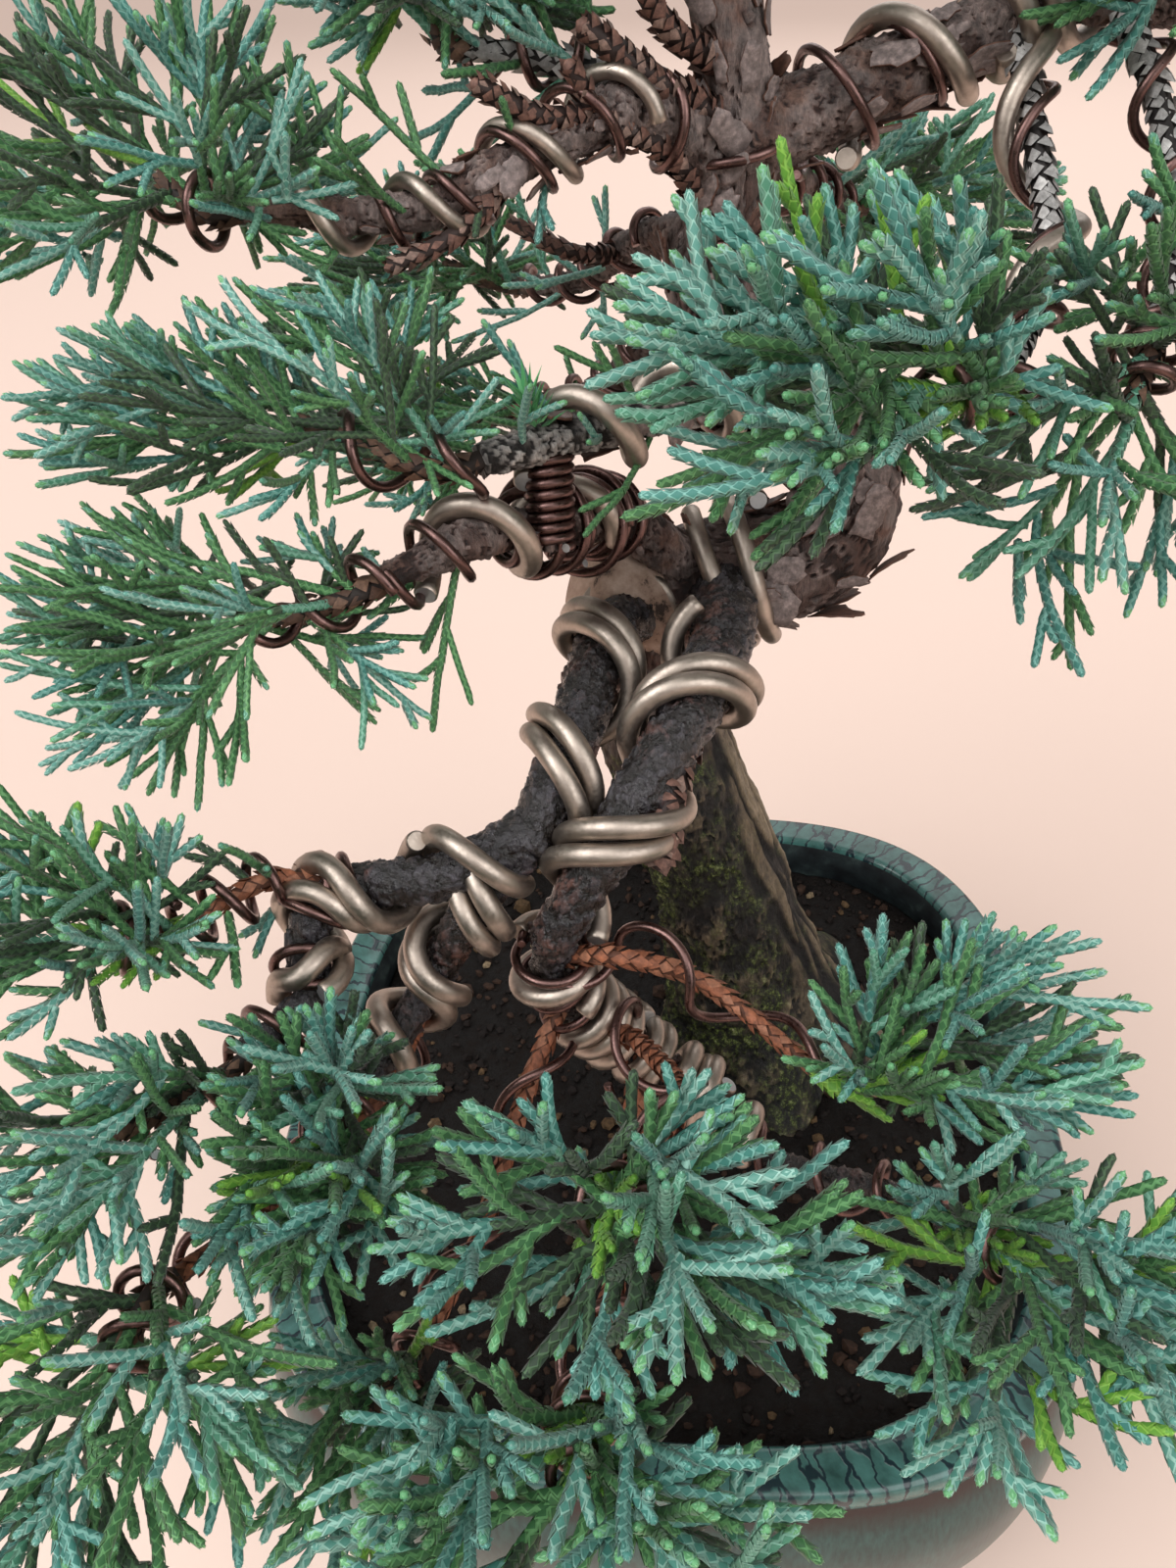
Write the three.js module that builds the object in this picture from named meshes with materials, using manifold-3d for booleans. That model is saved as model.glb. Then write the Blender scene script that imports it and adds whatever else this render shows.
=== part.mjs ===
// Juniper bonsai in its glazed pot: trunk, boughs, training wires and foliage masses.
// Millimetres, +Z up. The origin is the middle of the pot's flat underside, -Y is the front.
import * as THREE from 'three';
import Module from 'manifold-3d';

const wasm = await Module();
wasm.setup();

// Driving sizes of the pot
const POT_HALF_X = 50;
const POT_HALF_Y = 54.5;
const POT_HEIGHT = 50;
const POT_SQUARENESS = 3.23;
const LIP_WIDTH = 5.5;
const LIP_HEIGHT = 3.5;
const LIP_EDGE = 0.6;
const LIP_GROOVE = 0.9;
const BELLY_BULGE = 1.8;
const BELLY_Z = 36;
const BOWL_DEPTH = 20;
const FLOOR_Z = 6;
const WALL = 5;
const SOIL_Z = 44.6;
const SOIL_EDGE_DROP = 1.2;
const SOIL_EDGE_WIDTH = 7;
const POT_SIDES = 32;

// Driving sizes of the wood, the wires and the foliage
const GAP = 0.3;
const SOIL_GAP = 0.5;
const CUT_GAP = 0.35;
const TRUNK_BOLE = 8.6;
const TRUNK_TIP = 2.4;
const FLARE = 8.6;
const FLARE_HEIGHT = 11;
const ROOT_LOBES = 5;
const ROOT_LOBE_DEPTH = 0.16;
const ROOT_LOBE_TURN = 1.1;
const SCAR_RADIUS = 6.2;
const SCAR_END_RADIUS = 5.6;
const WIRE_THICK = 1.25;
const WIRE_MEDIUM = 0.85;
const WIRE_SEAT = 0.55;
const LEAF_LENGTH = 14;
const LEAF_RADIUS = 1.8;
const TWIG_RADIUS = 0.8;
const STEM_RADIUS = 1.6;
const STEM_END_RADIUS = 1.2;
const STEM_STRAIGHT = 3;
const END_SHOOT_WIDTH = 2;
const LEAF_WAIST = 0.4;
const LEAF_FROM_END = 0.8;
const LEAF_CLEARANCE = 0.45;
const SPACE_MARGIN = 0.05;

const COLOURS = {
  glaze: 0x3f5a58,
  soil: 0x2b231e,
  bark: 0x4a3b35,
  twig: 0x7a5238,
  wire: 0x6e6156,
  foliage: 0x4f7d63,
};

const root = new THREE.Group();
const vec = (p) => new THREE.Vector3(p[0], p[1], p[2]);

// Adds one closed solid to the group as a named mesh.
function addMesh(name, solid, colour, roughness, metalness = 0) {
  const mesh = solid.getMesh();
  const geometry = new THREE.BufferGeometry();
  geometry.setAttribute('position', new THREE.BufferAttribute(mesh.vertProperties, 3));
  geometry.setIndex(new THREE.BufferAttribute(mesh.triVerts, 1));
  geometry.computeVertexNormals();
  const material = new THREE.MeshStandardMaterial({ color: colour, roughness, metalness });
  const node = new THREE.Mesh(geometry, material);
  node.name = name;
  root.add(node);
}

// Skins rings of equal length into one closed solid. Each end is one triangle where the
// ring has three points, and otherwise a flat fan round its middle.
function loft(rings) {
  const sides = rings[0].length;
  const points = rings.flat();
  const triangles = [];
  for (let i = 0; i + 1 < rings.length; i++) {
    for (let j = 0; j < sides; j++) {
      const a = i * sides + j;
      const b = i * sides + (j + 1) % sides;
      triangles.push(a, b, b + sides, a, b + sides, a + sides);
    }
  }
  for (const [ring, flip] of [[0, true], [rings.length - 1, false]]) {
    if (sides === 3) {
      const [a, b, c] = [0, 1, 2].map((j) => ring * 3 + j);
      triangles.push(...(flip ? [b, a, c] : [a, b, c]));
      continue;
    }
    const middle = points.length;
    const centre = new THREE.Vector3();
    rings[ring].forEach((p) => centre.addScaledVector(p, 1 / sides));
    points.push(centre);
    for (let j = 0; j < sides; j++) {
      const a = ring * sides + j;
      const b = ring * sides + (j + 1) % sides;
      triangles.push(...(flip ? [b, a, middle] : [a, b, middle]));
    }
  }
  const vertProperties = new Float32Array(points.flatMap((p) => [p.x, p.y, p.z]));
  const triVerts = new Uint32Array(triangles);
  return new wasm.Manifold(new wasm.Mesh({ numProp: 3, vertProperties, triVerts }));
}

// The body of a solid that booleans may have split: its largest piece, hollows filled.
function largest(solid) {
  return solid.decompose().reduce((a, b) => (b.volume() > a.volume() ? b : a));
}

// A level ring of the pot, in from the rim's outline by an inset.
function potRing(z, inset) {
  const power = 2 / POT_SQUARENESS;
  return Array.from({ length: POT_SIDES }, (_, i) => {
    const angle = (i + 0.5) / POT_SIDES * Math.PI * 2;
    const c = Math.cos(angle);
    const s = Math.sin(angle);
    const x = Math.sign(c) * Math.abs(c) ** power * (POT_HALF_X - inset);
    const y = Math.sign(s) * Math.abs(s) ** power * (POT_HALF_Y - inset);
    return new THREE.Vector3(x, y, z);
  });
}

// How far the outer wall lies inside the rim: a bowl curve below the belly, a slight
// lean back to the groove under the lip above it.
function wallInset(z) {
  const down = Math.max(0, BELLY_Z - z) / (BELLY_Z + 1);
  const up = Math.max(0, z - BELLY_Z) / (POT_HEIGHT - LIP_HEIGHT - BELLY_Z);
  return BOWL_DEPTH * (1 - Math.sqrt(1 - down * down)) - BELLY_BULGE
    + (LIP_GROOVE + BELLY_BULGE) * up * up;
}

// How far the inside wall lies inside the rim: as wide as the mouth until the bowl narrows.
const cavityInset = (z) => Math.max(LIP_WIDTH + 0.4, wallInset(z) + WALL);

// Pot: bowl wall, groove, flat lip, plain inside wall and floor
function makePot() {
  const lipFoot = POT_HEIGHT - LIP_HEIGHT;
  const rings = [0, 2, 7, 15, 25, 36, 43, lipFoot].map((z) => potRing(z, wallInset(z)));
  rings.push(potRing(lipFoot + LIP_EDGE, 0), potRing(POT_HEIGHT - LIP_EDGE, 0));
  rings.push(potRing(POT_HEIGHT, LIP_EDGE), potRing(POT_HEIGHT, LIP_WIDTH));
  for (const z of [POT_HEIGHT / 2, FLOOR_Z]) rings.push(potRing(z, cavityInset(z)));
  addMesh('pot', loft(rings), COLOURS.glaze, 0.3);
}

// Soil: fills the pot's inside, level where the trunk stands and lower at the wall
function makeSoil() {
  const edge = SOIL_Z - SOIL_EDGE_DROP;
  const rings = [FLOOR_Z + SOIL_GAP, POT_HEIGHT / 2, edge]
    .map((z) => potRing(z, cavityInset(z) + SOIL_GAP));
  rings.push(potRing(SOIL_Z, cavityInset(edge) + SOIL_EDGE_WIDTH));
  addMesh('soil', loft(rings), COLOURS.soil, 0.95);
}

// A limb's shape: a smooth curve, its radius along it and the solid around it. With grow
// above 0 the solid is larger all round, which is what neighbours are cut back by.
class Limb {
  constructor(points, radiusAt, sides, steps) {
    this.curve = new THREE.CatmullRomCurve3(points.map(vec));
    this.length = this.curve.getLength();
    this.radiusAt = radiusAt;
    this.sides = sides;
    this.steps = steps;
    this.frames = this.curve.computeFrenetFrames(steps, false);
  }

  ring(i, grow, shape = () => 1) {
    const u = i / this.steps;
    const overrun = (i === this.steps ? grow : 0) - (i === 0 ? grow : 0);
    const centre = this.curve.getPointAt(u).addScaledVector(this.curve.getTangentAt(u), overrun);
    const radius = this.radiusAt(u, this.length);
    return Array.from({ length: this.sides }, (_, j) => {
      const angle = j / this.sides * Math.PI * 2;
      const r = radius * shape(angle, u * this.length) + grow;
      return centre.clone()
        .addScaledVector(this.frames.normals[i], Math.cos(angle) * r)
        .addScaledVector(this.frames.binormals[i], Math.sin(angle) * r);
    });
  }

  solid(grow = 0) {
    return loft(Array.from({ length: this.steps + 1 }, (_, i) => this.ring(i, grow)));
  }
}

// Radius that falls evenly from one end of a limb to the other.
const taper = (start, end) => (u) => start + (end - start) * u;

// Trunk radius: slow taper up the bole, wide flare at the soil
const trunkRadius = (u, length) => TRUNK_TIP + (TRUNK_BOLE - TRUNK_TIP) * (1 - u ** 1.5)
  + FLARE * Math.exp(-u * length / FLARE_HEIGHT);

// Lobes where the surface roots leave the trunk, fading out up the flare
const rootLobes = (angle, height) => 1
  + ROOT_LOBE_DEPTH * Math.exp(-height / FLARE_HEIGHT) * Math.sin(ROOT_LOBES * angle + ROOT_LOBE_TURN);

const TRUNK_PATH = [
  [13.2, 13.3, 44], [10.2, 12.8, 57], [6.2, 12.9, 73], [1.3, 13.4, 89], [-2.9, 14.6, 103],
  [-2.2, 16.4, 112.5], [6.5, 16.8, 116.5], [16.5, 17.4, 119], [19.2, 19.6, 126],
  [13, 20.2, 133.5], [6.3, 20.6, 141], [3.8, 21.6, 149], [6, 21.4, 158], [5.8, 21.6, 167],
  [2.5, 22.6, 176],
];

// Trunk: rings level with the soil at the foot, square to the curve further up, and
// the flat sawn stub of a lost branch on the outside of the first bend
const trunk = new Limb(TRUNK_PATH, trunkRadius, 12, 28);
const SCAR_PATH = [[0, 15.5, 112.5], [-9.6, 12.6, 117.6]];
const scar = new Limb(SCAR_PATH, taper(SCAR_RADIUS, SCAR_END_RADIUS), 9, 2);
function makeTrunk() {
  const rings = Array.from({ length: trunk.steps + 1 }, (_, i) => trunk.ring(i, 0, rootLobes));
  rings[0].forEach((p) => p.setZ(SOIL_Z + GAP));
  addMesh('trunk', largest(loft(rings).add(scar.solid())), COLOURS.bark, 0.9);
}

// Boughs: name, carrying limb, how far up that limb it leaves, start and end radius, and
// its few bends. It starts on the carrying limb's middle line and is cut back from it.
const BOUGHS = [
  ['bough_front_left', 'trunk', 0.453, 3.1, 2.5,
    [[-6.5, 1.8, 117.1], [-8.9, -14.5, 114.6], [-13, -23.2, 109]]],
  ['bough_left_arm', 'bough_front_left', 0.95, 2.6, 1.5,
    [[-20, -25.9, 108.3], [-30.5, -27.6, 107.2], [-32.9, -31, 103.4],
      [-31.6, -34, 101.2], [-36.4, -39.8, 99.1]]],
  ['twig_left_fork', 'bough_left_arm', 0.49, 1.5, 1,
    [[-35.5, -28.2, 109.6], [-41.8, -32.9, 108.6]]],
  ['bough_inner_left', 'bough_front_left', 0.983, 2.2, 1.6,
    [[-18.8, -26.2, 102.4], [-22.7, -27.4, 95.4], [-27.9, -35.6, 90.2]]],
  ['twig_low_left', 'bough_inner_left', 0.67, 1.6, 1.2,
    [[-27.6, -31.8, 84.5], [-33.8, -41.9, 83.1], [-40.2, -56, 89.4]]],
  ['bough_front_centre', 'trunk', 0.515, 3.8, 2.3,
    [[5.2, -1, 117.2], [0.7, -15.9, 116.2], [-6.3, -24, 107.6], [-10.6, -26, 100.5]]],
  ['bough_front_centre_low', 'bough_front_centre', 0.983, 2.3, 1.7,
    [[-10.4, -24.7, 93.5], [-1.8, -22.1, 79.6], [6.1, -25.4, 76]]],
  ['twig_right_rim', 'bough_front_centre_low', 0.115, 1.4, 1,
    [[-4.5, -27.4, 99.8], [3.3, -26.4, 96], [14.5, -32.9, 91.2]]],
  ['twig_front', 'bough_front_centre_low', 0.465, 1.4, 1.1,
    [[-1, -31.5, 91], [2.2, -40, 94.6], [-1.9, -48.5, 97]]],
  ['twig_low_inner', 'bough_front_centre_low', 0.3, 1.3, 1,
    [[-13.2, -31, 85], [-17.2, -46, 79], [-20.4, -53, 77.3]]],
  ['twig_front_low', 'bough_front_centre_low', 0.675, 1.5, 1.1,
    [[-2.6, -36, 74.6], [-4.3, -50.7, 77.6], [-5, -60, 81.8]]],
  ['bough_front_right', 'bough_front_centre_low', 0.865, 1.6, 1.2,
    [[11.5, -30.8, 74], [21.7, -37.1, 78.3], [26.4, -43.4, 83.6]]],
  ['bough_left', 'trunk', 0.5, 3, 1.5,
    [[-4.6, 8.5, 127], [-9.8, -2.1, 132], [-17, -11.6, 135.2], [-24, -15.5, 133.4]]],
  ['bough_left_high', 'trunk', 0.718, 2.7, 1.5,
    [[7.2, 9.5, 139.9], [-2, 0, 141.8], [-15.7, -10.2, 142]]],
  ['bough_upper_left', 'trunk', 0.873, 3, 1.1,
    [[-2.4, 16.4, 163.6], [-11.5, 10, 162.2], [-21, 5.8, 158.3], [-36.4, 2.2, 159.4]]],
  ['twig_top_pad', 'bough_upper_left', 0.237, 1.8, 1.2,
    [[-8.5, 18.4, 167], [-18, 20, 168.6]]],
  ['bough_upper_right', 'trunk', 0.892, 3.9, 2.2,
    [[15, 22.2, 162.9], [27.2, 26.8, 167.2], [34, 28.4, 170], [47, 25.4, 169.6]]],
  ['twig_hanging_inner', 'bough_upper_right', 0.632, 1.6, 1,
    [[32.8, 19.5, 161.6], [33.4, 7, 152.6], [27.4, -10.5, 149]]],
  ['twig_hanging_outer', 'bough_upper_right', 0.848, 1.7, 1.1,
    [[44.2, 20, 162], [44.6, 10, 154.8], [41.6, 0.4, 150]]],
  ['bough_back_left', 'trunk', 0.772, 2.2, 1.3,
    [[-1, 30, 138.6], [-9.3, 38, 129.6], [-17.2, 43.2, 126]]],
  ['bough_back_left_high', 'trunk', 0.838, 2.2, 1.2,
    [[-3.2, 35.6, 147.4], [-12.2, 48.4, 139.4], [-19.4, 54.4, 137.2]]],
  ['bough_back_right', 'trunk', 0.86, 2.2, 1.3,
    [[12, 33.3, 153.4], [18.6, 45, 148.6]]],
];

const limbs = new Map([['trunk', trunk], ['scar', scar]]);

// Cuts a solid back from limbs and wires already made, where it comes near them.
function cutBack(solid, neighbours) {
  let body = solid;
  for (const limb of neighbours) {
    const wide = limb.solid(CUT_GAP);
    if (body.intersect(wide).volume() > 0) body = body.subtract(wide);
  }
  return largest(body);
}

function makeBoughs() {
  for (const [name, carrier, share, start, end, bends] of BOUGHS) {
    const thin = name.startsWith('twig');
    const path = [limbs.get(carrier).curve.getPointAt(share).toArray(), ...bends];
    const limb = new Limb(path, taper(start, end), thin ? 5 : 7, bends.length * 2);
    const body = cutBack(limb.solid(), limbs.values());
    limbs.set(name, limb);
    addMesh(name, body, thin ? COLOURS.twig : COLOURS.bark, 0.9);
  }
}

// Training wires: name, limb, where on it the winding starts and stops, turns, wire
// radius and the angle that the winding starts at
const WIRES = [
  ['wire_front_left_1', 'bough_front_left', 0.36, 0.84, 2.6, WIRE_THICK, 0.0],
  ['wire_front_left_2', 'bough_front_left', 0.36, 0.84, 2.6, WIRE_THICK, 2.7],
  ['wire_left_arm', 'bough_left_arm', 0.24, 0.8, 3.2, WIRE_THICK, 0.6],
  ['wire_inner_left', 'bough_inner_left', 0.36, 0.86, 2.2, WIRE_THICK, 1.2],
  ['wire_front_centre_1', 'bough_front_centre', 0.34, 0.82, 2.5, WIRE_THICK, 0.0],
  ['wire_front_centre_2', 'bough_front_centre', 0.34, 0.82, 2.5, WIRE_THICK, 2.5],
  ['wire_trunk', 'trunk', 0.545, 0.61, 1.1, WIRE_THICK, 2.4],
  ['wire_left', 'bough_left', 0.55, 0.92, 2.6, WIRE_THICK, 0.4],
  ['wire_left_high', 'bough_left_high', 0.4, 0.88, 2.2, WIRE_THICK, 0.0],
  ['wire_upper_left', 'bough_upper_left', 0.3, 0.86, 3.6, WIRE_MEDIUM, 0.3],
  ['wire_upper_right', 'bough_upper_right', 0.28, 0.78, 2.4, WIRE_THICK, 1.1],
];
const WIRE_SIDES = 5;
const WIRE_STEPS_PER_TURN = 7;

const wires = [];

// Centre line of a wire wound round a limb, a little clear of its bark.
function windingPath(limb, from, to, turns, wire, phase) {
  const count = Math.ceil(turns * WIRE_STEPS_PER_TURN);
  const { curve, frames, steps } = limb;
  return Array.from({ length: count + 1 }, (_, i) => {
    const u = from + (to - from) * i / count;
    const k = Math.min(steps - 1, Math.floor(u * steps));
    const blend = u * steps - k;
    const normal = frames.normals[k].clone().lerp(frames.normals[k + 1], blend).normalize();
    const side = frames.binormals[k].clone().lerp(frames.binormals[k + 1], blend).normalize();
    const angle = phase + i / WIRE_STEPS_PER_TURN * Math.PI * 2;
    const reach = limb.radiusAt(u, limb.length) / Math.cos(Math.PI / limb.sides) + wire + WIRE_SEAT;
    return curve.getPointAt(u)
      .addScaledVector(normal, Math.cos(angle) * reach)
      .addScaledVector(side, Math.sin(angle) * reach);
  });
}

function makeWires() {
  for (const [name, carrier, from, to, turns, radius, phase] of WIRES) {
    const path = windingPath(limbs.get(carrier), from, to, turns, radius, phase);
    const wire = new Limb(path.map((p) => p.toArray()), () => radius, WIRE_SIDES, path.length - 1);
    const body = cutBack(wire.solid(), [...limbs.values(), ...wires]);
    wires.push(wire);
    addMesh(name, body, COLOURS.wire, 0.4, 0.8);
  }
}

// Foliage masses: name, carrying limb, middle of the space and its three half sizes
const MASSES = [
  ['foliage_upper_left', 'bough_upper_left', [-45, 4, 163], [21, 16, 13]],
  ['foliage_top_pad', 'twig_top_pad', [-21, 24, 177], [16, 15, 12]],
  ['foliage_left_high', 'bough_left_high', [-35, -8, 146], [21, 14, 11]],
  ['foliage_left', 'bough_left', [-41, -16, 128], [20, 14, 15]],
  ['foliage_back_left_high', 'bough_back_left_high', [-33, 58, 140], [18, 14, 9]],
  ['foliage_back_left', 'bough_back_left', [-31, 45, 121], [16, 13, 9]],
  ['foliage_back_right', 'bough_back_right', [27, 56, 146], [17, 15, 11]],
  ['foliage_right_inner', 'twig_hanging_inner', [13, -19, 152], [16, 14, 13]],
  ['foliage_right_outer', 'twig_hanging_outer', [38, -8, 144], [15, 13, 19]],
  ['foliage_fork', 'twig_left_fork', [-51, -38, 112], [16, 12, 10]],
  ['foliage_left_arm', 'bough_left_arm', [-46, -53, 102], [14, 13, 10]],
  ['foliage_front_left', 'bough_inner_left', [-29, -50, 99], [11, 14, 11]],
  ['foliage_low_left', 'twig_low_left', [-42, -69, 89], [17, 13, 11]],
  ['foliage_low_inner', 'twig_low_inner', [-25, -62, 77], [11, 11, 9]],
  ['foliage_front_centre', 'twig_front', [0, -59, 102], [18, 13, 11]],
  ['foliage_front_low', 'twig_front_low', [-6, -73, 87], [19, 10, 11]],
  ['foliage_right_rim', 'twig_right_rim', [29, -33, 96], [15, 11, 10]],
  ['foliage_front_right', 'bough_front_right', [33, -54, 88], [16, 14, 14]],
  ['foliage_apex', 'trunk', [0, 22, 188], [20, 19, 15]],
  ['foliage_top_right', 'bough_upper_right', [49, 22, 178], [18, 18, 15]],
];
const TWIGS_PER_MASS = 5;
const LEAVES_PER_TWIG = 2;
const TWIG_TRIES = 6;
const STEM_BARE = 0.5;
const HIGHEST_TWIG = 0.95;
const LOWEST_TWIG = -0.75;
const GOLDEN_ANGLE = Math.PI * (3 - Math.sqrt(5));

// How far out in a mass's space a point lies: 0 in the middle, 1 at the edge.
const spread = (mass, p) => Math.hypot(
  (p.x - mass[2][0]) / mass[3][0],
  (p.y - mass[2][1]) / mass[3][1],
  (p.z - mass[2][2]) / mass[3][2],
);

// Points on the surface line of every limb and wire, for the clearance test
function obstacles() {
  const list = [];
  for (const limb of [...limbs.values(), ...wires]) {
    const count = Math.ceil(limb.length / 1.5);
    for (let i = 0; i <= count; i++) {
      list.push([limb.curve.getPointAt(i / count), limb.radiusAt(i / count, limb.length)]);
    }
  }
  return list;
}

// True when a straight twig or leaf stays in its own space and touches no limb. Its root,
// up to the share given, lies in the wood that it grows from and is not tested.
function fits(mass, start, end, solids, root = 0) {
  const tests = 9;
  for (let i = 0; i < tests; i++) {
    const t = root + (1 - root) * i / (tests - 1);
    const p = start.clone().lerp(end, t);
    const own = spread(mass, p);
    const radius = t < LEAF_WAIST / 2 ? TWIG_RADIUS : LEAF_RADIUS;
    const near = ([q, r]) => q.distanceTo(p) < r + radius + LEAF_CLEARANCE;
    const crowds = (other) => other !== mass && spread(other, p) < own + SPACE_MARGIN;
    if ((t > LEAF_WAIST && own > 1.01) || MASSES.some(crowds) || solids.some(near)) return false;
  }
  return true;
}

// Repeatable random numbers from 0 to 1.
function randomFrom(seed) {
  let state = seed;
  return () => {
    state = (state * 1664525 + 1013904223) % 4294967296;
    return state / 4294967296;
  };
}

// A straight three-sided twig that swells into its end shoot and runs out to a point.
function twigSolid(start, direction, twigLength, reach) {
  const shoot = reach - twigLength;
  const waist = twigLength + shoot * LEAF_WAIST;
  const stops = [[0, 1], [twigLength, 0.8], [waist, END_SHOOT_WIDTH], [reach, 0.1]];
  const end = start.clone().addScaledVector(direction, reach);
  const { frames } = new Limb([start.toArray(), end.toArray()], taper(1, 1), 3, 1);
  return loft(stops.map(([distance, width]) => [0, 1, 2].map((j) => {
    const angle = j / 3 * Math.PI * 2;
    return start.clone().addScaledVector(direction, distance)
      .addScaledVector(frames.normals[0], Math.cos(angle) * width * TWIG_RADIUS)
      .addScaledVector(frames.binormals[0], Math.sin(angle) * width * TWIG_RADIUS);
  })));
}

// A leafy shoot: an eight-faced spindle, widest nearer its root than its tip.
function leafSolid(start, end) {
  const along = end.clone().sub(start);
  const side = new THREE.Vector3(0, 0, 1).cross(along);
  if (side.length() < 0.1) side.set(1, 0, 0);
  side.normalize();
  const up = along.clone().cross(side).normalize();
  const waist = start.clone().addScaledVector(along, LEAF_WAIST);
  const belt = [[1, 0], [0, 1], [-1, 0], [0, -1]].map(([a, b]) => waist.clone()
    .addScaledVector(side, a * LEAF_RADIUS).addScaledVector(up, b * LEAF_RADIUS));
  const points = [start, ...belt, end];
  const triangles = [0, 1, 2, 3].flatMap((i) => {
    const a = i + 1;
    const b = (i + 1) % 4 + 1;
    return [0, b, a, a, b, 5];
  });
  const vertProperties = new Float32Array(points.flatMap((p) => p.toArray()));
  const mesh = new wasm.Mesh({ numProp: 3, vertProperties, triVerts: new Uint32Array(triangles) });
  return new wasm.Manifold(mesh);
}

// A direction within an angle of another.
function tilted(direction, angle, turn) {
  const helper = Math.abs(direction.z) < 0.9 ? new THREE.Vector3(0, 0, 1) : new THREE.Vector3(1, 0, 0);
  const side = direction.clone().cross(helper).normalize();
  side.applyAxisAngle(direction, turn);
  return direction.clone().applyAxisAngle(side, angle);
}

// How far along a direction a point leaves a mass's space.
function exitDistance(mass, start, direction) {
  let near = 0;
  let far = 80;
  for (let i = 0; i < 24; i++) {
    const middle = (near + far) / 2;
    const p = start.clone().addScaledVector(direction, middle);
    if (spread(mass, p) < 1) near = middle;
    else far = middle;
  }
  return near;
}

// A point on the edge of a mass's space, by its height share and its bearing.
function rimPoint(mass, height, bearing) {
  const level = Math.sqrt(1 - height * height);
  const out = [Math.cos(bearing) * level, Math.sin(bearing) * level, height];
  return vec(out.map((share, axis) => mass[2][axis] + share * mass[3][axis]));
}

// One mass: a stem from the bough's tip to the middle, twigs that part from it towards
// all sides of the space, and leafy shoots along the outer half of each twig.
function makeMass(mass, index, solids) {
  const [name, carrier, middle] = mass;
  const random = randomFrom(7001 + 97 * index);
  const { curve } = limbs.get(carrier);
  const foot = curve.getPointAt(1).addScaledVector(curve.getTangentAt(1), GAP);
  const knee = foot.clone().addScaledVector(curve.getTangentAt(1), STEM_STRAIGHT);
  const heart = vec(middle).lerp(knee, 0.25);
  const stemPath = [foot, knee, heart].map((p) => p.toArray());
  const stem = new Limb(stemPath, taper(STEM_RADIUS, STEM_END_RADIUS), 3, 3);
  const parts = [stem.solid()];
  for (let i = 0; i < TWIGS_PER_MASS; i++) {
    const height = HIGHEST_TWIG - (HIGHEST_TWIG - LOWEST_TWIG) * i / (TWIGS_PER_MASS - 1);
    const share = STEM_BARE + (0.98 - STEM_BARE) * (i + random()) / TWIGS_PER_MASS;
    const base = stem.curve.getPointAt(share);
    for (let turn = 0; turn < TWIG_TRIES; turn++) {
      const bearing = (i + turn * 0.31) * GOLDEN_ANGLE + random() * 0.5;
      const direction = rimPoint(mass, height, bearing).sub(base).normalize();
      const reach = exitDistance(mass, base, direction);
      const twigLength = Math.max(reach - LEAF_LENGTH * LEAF_FROM_END, reach * 0.35);
      const tip = base.clone().addScaledVector(direction, reach);
      if (reach < LEAF_LENGTH * 0.6 || !fits(mass, base, tip, solids)) continue;
      parts.push(twigSolid(base, direction, twigLength, reach));
      for (let j = 0; j < LEAVES_PER_TWIG; j++) {
        const from = base.clone().addScaledVector(direction, twigLength * (0.88 - 0.3 * j));
        const side = tilted(direction, 0.75 + 0.35 * random(), bearing + j * 2.6);
        const to = from.clone().addScaledVector(
          side, Math.min(LEAF_LENGTH, exitDistance(mass, from, side)));
        if (fits(mass, from, to, solids, 0.15)) parts.push(leafSolid(from, to));
      }
      break;
    }
  }
  addMesh(name, largest(wasm.Manifold.union(parts)), COLOURS.foliage, 0.8);
}

makePot();
makeSoil();
makeTrunk();
makeBoughs();
makeWires();
const solids = obstacles();
MASSES.forEach((mass, index) => makeMass(mass, index, solids));

export default root;
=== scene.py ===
# Wired juniper bonsai in its glazed pot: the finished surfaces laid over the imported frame.
# Tables and shapes are in millimetres and become metres when a mesh is made.
import math
import random

import bpy
import numpy as np
from bpy.props import FloatProperty, FloatVectorProperty, IntProperty, PointerProperty
from mathutils import Matrix, Vector, noise


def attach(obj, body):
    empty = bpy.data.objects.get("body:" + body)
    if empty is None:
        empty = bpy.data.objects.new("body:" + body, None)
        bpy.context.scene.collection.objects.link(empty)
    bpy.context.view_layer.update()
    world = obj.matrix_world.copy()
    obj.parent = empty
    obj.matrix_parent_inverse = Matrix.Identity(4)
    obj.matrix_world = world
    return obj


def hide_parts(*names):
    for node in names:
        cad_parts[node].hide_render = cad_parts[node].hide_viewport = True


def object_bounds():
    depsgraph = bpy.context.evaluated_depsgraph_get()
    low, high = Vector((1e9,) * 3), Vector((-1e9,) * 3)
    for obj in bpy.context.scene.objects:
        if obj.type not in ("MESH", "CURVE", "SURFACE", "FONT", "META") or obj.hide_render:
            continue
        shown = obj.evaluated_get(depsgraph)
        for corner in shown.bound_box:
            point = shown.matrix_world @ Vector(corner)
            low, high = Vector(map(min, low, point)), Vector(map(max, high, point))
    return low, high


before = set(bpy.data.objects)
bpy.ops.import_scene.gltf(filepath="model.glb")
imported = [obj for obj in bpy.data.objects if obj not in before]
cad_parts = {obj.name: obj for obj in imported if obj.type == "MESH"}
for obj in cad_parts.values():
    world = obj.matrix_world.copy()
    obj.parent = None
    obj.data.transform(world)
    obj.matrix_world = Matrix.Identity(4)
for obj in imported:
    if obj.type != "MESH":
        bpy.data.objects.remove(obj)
CAD_BOX = [list(corner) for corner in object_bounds()]

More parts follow.
